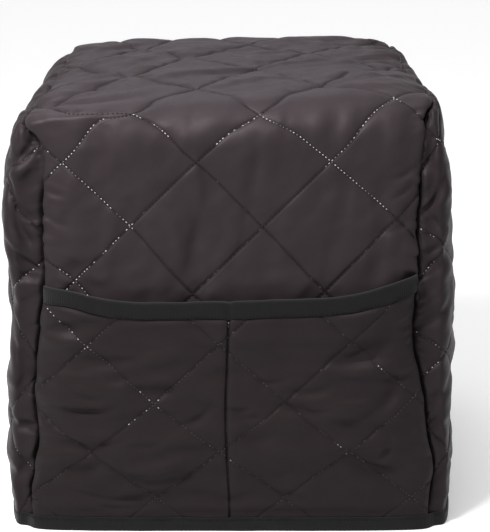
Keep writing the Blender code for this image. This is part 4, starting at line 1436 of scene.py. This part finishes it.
def stitch_mesh(name, middle, along, out, length, width, material, slot):
    """Short rounded stitches laid on the cloth."""
    side = np.cross(out, along)
    side /= np.linalg.norm(side, axis=1, keepdims=True)
    shape = [(-0.5, 0, 0)]
    for run in (-0.25, 0.25):
        shape += [(run, 0.5, 0), (run, 0, 0.5), (run, -0.5, 0), (run, 0, -0.5)]
    shape.append((0.5, 0, 0))
    points = np.concatenate(
        [middle + along * a * length + side * b * width + out * c * width * 0.8 for a, b, c in shape]
    ).reshape(len(shape), -1, 3)
    count = len(middle)
    pattern = [(0, 2, 1), (0, 3, 2), (0, 4, 3), (0, 1, 4)]
    pattern += [(1, 2, 6), (1, 6, 5), (2, 3, 7), (2, 7, 6), (3, 4, 8), (3, 8, 7), (4, 1, 5), (4, 5, 8)]
    pattern += [(9, 5, 6), (9, 6, 7), (9, 7, 8), (9, 8, 5)]
    faces = []
    for a, b, c in pattern:
        numbers = np.arange(count)
        faces += np.stack([a * count + numbers, b * count + numbers, c * count + numbers], -1).tolist()
    piece = ordered_mesh(name, points.reshape(-1, 3), faces)
    return dress(piece, material, slot)


# A place inside the cover, which every stitch faces away from
INSIDE = (0.0, 0.0, 0.18)


def sewn(name, surface, u, v, du, dv, light, slot, seed, faint=0.1, length=STITCH_LENGTH):
    """Stitches at places of a surface. Some catch the light and get pale thread as painted highlight, some
    are faint and the rest are dark.
    """
    here = surface(u, v)
    along = unit(surface(u + du * 0.01, v + dv * 0.01) - here)
    out = unit(np.cross(surface(u + 0.002, v) - here, surface(u, v + 0.002) - here))
    out *= np.sign(np.sum(out * (here - np.array(INSIDE)), axis=1, keepdims=True))
    chance = np.random.RandomState(seed).uniform(0, 1, len(u))
    limits = [chance < SHINING * light, chance < light, chance < light + (1 - light) * faint]
    kinds = np.select(limits, [3, 2, 1], 0)
    for kind, (word, material) in enumerate(THREADS):
        chosen = kinds == kind
        if chosen.any():
            place = here[chosen] + out[chosen] * STITCH_LIFT
            stitch_mesh(
                f"{name}_{word}", place, along[chosen], out[chosen], length, STITCH_WIDTH, material, slot
            )


def sewn_lattice(name, surface, places, kept, light, slot, seed, faint=0.1):
    """Stitches at the places of a lattice that are kept."""
    column, row, way = places[:, kept]
    if np.ndim(faint):
        faint = faint[kept]
    sewn(name, surface, column, row, np.ones(kept.sum()), way, light[kept], slot, seed, faint)


def sew_strip():
    """Quilting stitches of the strip."""
    places = lattice_lines(-9.5, 9.5, 9.5, 54.6, (FIRST_CROSSING, CROSSING_ROW)).T

    def place(column, row):
        moved_column, moved_row = pulled(column, row)
        s = np.interp(moved_row, FINE_ROWS, FINE_LENGTHS)
        x = moved_column * COLUMN_STEP
        return x - top_drift(s, x / half_width(s, x)), s

    def surface(column, row):
        x, s = place(column, row)
        return strip_outer(x / half_width(s, x), s)

    x, s = place(*places[:2])
    kept = (np.abs(x) < half_width(s, x) - 0.004) & (s > 0.200) & (s < 0.972)
    light = catching(*places[:2], LIGHT_RUNS)
    sewn_lattice("strip_stitches", surface, places, kept, light, "quilted_cloth", 301)


def sew_pocket():
    """Quilting stitches of the pocket, and the stitches of its dividing seam."""
    places = lattice_lines(-9.5, 9.5, -0.4, 11.4, (POCKET_CROSSING_COLUMN, 0)).T
    column, row, _ = places

    def place(column, row):
        return column * COLUMN_STEP, np.interp(row, FINE_POCKET_ROWS, FINE_POCKET_HEIGHTS)

    x, height = place(column, row)
    inside = np.abs(x) < half_width(height, x) - 0.006
    kept = inside & (height > 0.018) & (height < mouth_height(x) - 0.015)
    sewn_lattice(
        "pocket_stitches", lambda column, row: pocket_face(*place(column, row)), places, kept,
        catching(column, row, POCKET_LIGHT_RUNS), "pocket_cloth", 302,
        0.42 + 0.55 * noise(column / 3.1, row / 3.1, 305),
    )
    height = np.arange(0.016, 0.197, 0.0030)
    x = smooth_table(DIVIDER_PATH, 1, height)
    sewn(
        "divider_stitches", pocket_face, x, height, np.zeros_like(x), np.ones_like(x), 0.9 * (height > 0.188),
        "pocket_cloth", 303, length=0.0022,
    )


def sew_sides():
    """Quilting stitches of the side panels."""
    for side, name in ((-1, "left_stitches"), (1, "right_stitches")):
        places = lattice_lines(-1, SIDE_COLUMNS + 4, -4, SIDE_ROWS + 5, SIDE_CROSSING[side]).T

        def place(column, row):
            y = column * COLUMN_STEP
            z = row * COLUMN_STEP
            for _ in range(8):
                column_bend, row_bend = side_bends(y, z, side)
                y = (column - column_bend) * COLUMN_STEP
                z = (row - row_bend) * COLUMN_STEP
            return side_shares(y, z, side)

        def surface(column, row):
            across, up = place(column, row)
            return side_outer(np.clip(across, 0, 1), np.clip(up, 0, 1), side)

        across, up = place(*places[:2])
        kept = (across > 0.0005) & (across < 0.9995) & (up > 0.05) & (up < 0.995)
        light = catching(*places[:2], SIDE_LIGHT_RUNS[side], 0.5)
        sewn_lattice(name, surface, places, kept, light, "quilted_cloth", 304 + side, 0.3)


# Stage: half size, colour and glow of the floor, and the world's strength over the height of the view
FLOOR_SIZE = 400.0
FLOOR_COLOUR = (0.90, 0.90, 0.90, 1.0)
FLOOR_GLOW = 0.18
HORIZON = (0.02, 0.08, 0.96, 0.45)
WHITE = (1.0, 1.0, 1.0, 1.0)

# Lamps: kind, place, angle or size, power, colour, the place that it aims at, and whether it lights more
# than the cloth's shine
LAMPS = {
    "overhead": ("SUN", (-0.14, -0.08, 2.0), 0.60, 1.20, (1.0, 1.0, 1.0), (0.0, 0.0, 0.0), True),
    "behind": ("SUN", (-0.15, 1.0, 0.90), 0.35, 0.34, (0.94, 0.88, 1.0), (0.0, 0.0, 0.0), False),
    "front": ("AREA", (-0.42, -0.66, 1.12), 0.3, 19.0, (1.0, 1.0, 1.0), (0.0, -0.1, 0.32), True),
}


def placed(name, data):
    """An object in the scene from its data."""
    made = bpy.data.objects.new(name, data)
    bpy.context.scene.collection.objects.link(made)
    return made


def make_floor():
    """A pale floor that throws no light back on the cloth."""
    mesh = bpy.data.meshes.new("floor")
    corners = [(a * FLOOR_SIZE, b * FLOOR_SIZE, 0) for a, b in ((-1, -1), (1, -1), (1, 1), (-1, 1))]
    mesh.from_pydata(corners, [], [(0, 1, 2, 3)])
    floor = placed("floor", mesh)
    paint = bpy.data.materials.new("floor_paint")
    paint.use_nodes = True
    set_inputs(
        paint.node_tree.nodes["Principled BSDF"],
        Base_Color=FLOOR_COLOUR,
        Roughness=0.9,
        Specular_IOR_Level=0.0,
        Emission_Color=WHITE,
        Emission_Strength=FLOOR_GLOW,
    )
    mesh.materials.append(paint)
    floor.visible_diffuse = False


def make_world():
    """A world that is white at the horizon and greyer above it."""
    world = bpy.data.worlds.new("studio")
    world.use_nodes = True
    tree = world.node_tree
    sky = tree.nodes["Background"]
    sky.inputs["Color"].default_value = WHITE
    view = tree.nodes.new("ShaderNodeTexCoord").outputs["Generated"]
    parts = fed(tree, "ShaderNodeSeparateXYZ", "Vector", view)
    level = maths(tree, "ABSOLUTE", parts.outputs["Z"], 0.0)
    tree.links.new(graded(tree, level, *HORIZON), sky.inputs["Strength"])
    bpy.context.scene.world = world
    bpy.context.scene.view_settings.view_transform = "Standard"


def make_lamps():
    """The studio's lamps."""
    for name, (kind, place, breadth, power, colour, aim, soft) in LAMPS.items():
        data = bpy.data.lights.new(name, kind)
        data.energy = power
        data.color = colour
        if kind == "SUN":
            data.angle = breadth
        else:
            data.shape = "SQUARE"
            data.size = breadth
        lamp = placed(name, data)
        lamp.location = place
        lamp.rotation_mode = "QUATERNION"
        lamp.rotation_quaternion = (Vector(aim) - Vector(place)).to_track_quat("-Z", "Y")
        lamp.visible_camera = False
        lamp.visible_diffuse = soft


def make_camera():
    """The photo's camera."""
    data = bpy.data.cameras.new("camera")
    data.lens = CAMERA_LENS
    data.sensor_width = 36.0
    data.clip_start = 0.05
    camera = placed("camera", data)
    camera.location = [a + b for a, b in zip(CAMERA_PLACE, CENTRE_SHIFT)]
    camera.rotation_euler = (math.radians(90 - CAMERA_PITCH), 0, 0)
    bpy.context.scene.camera = camera


make_strip()
make_sides()
make_pocket()
make_mouth_tape()
make_hem_tape()
sew_strip()
sew_pocket()
sew_sides()
make_floor()
make_world()
make_lamps()
make_camera()

bpy.context.view_layer.update()
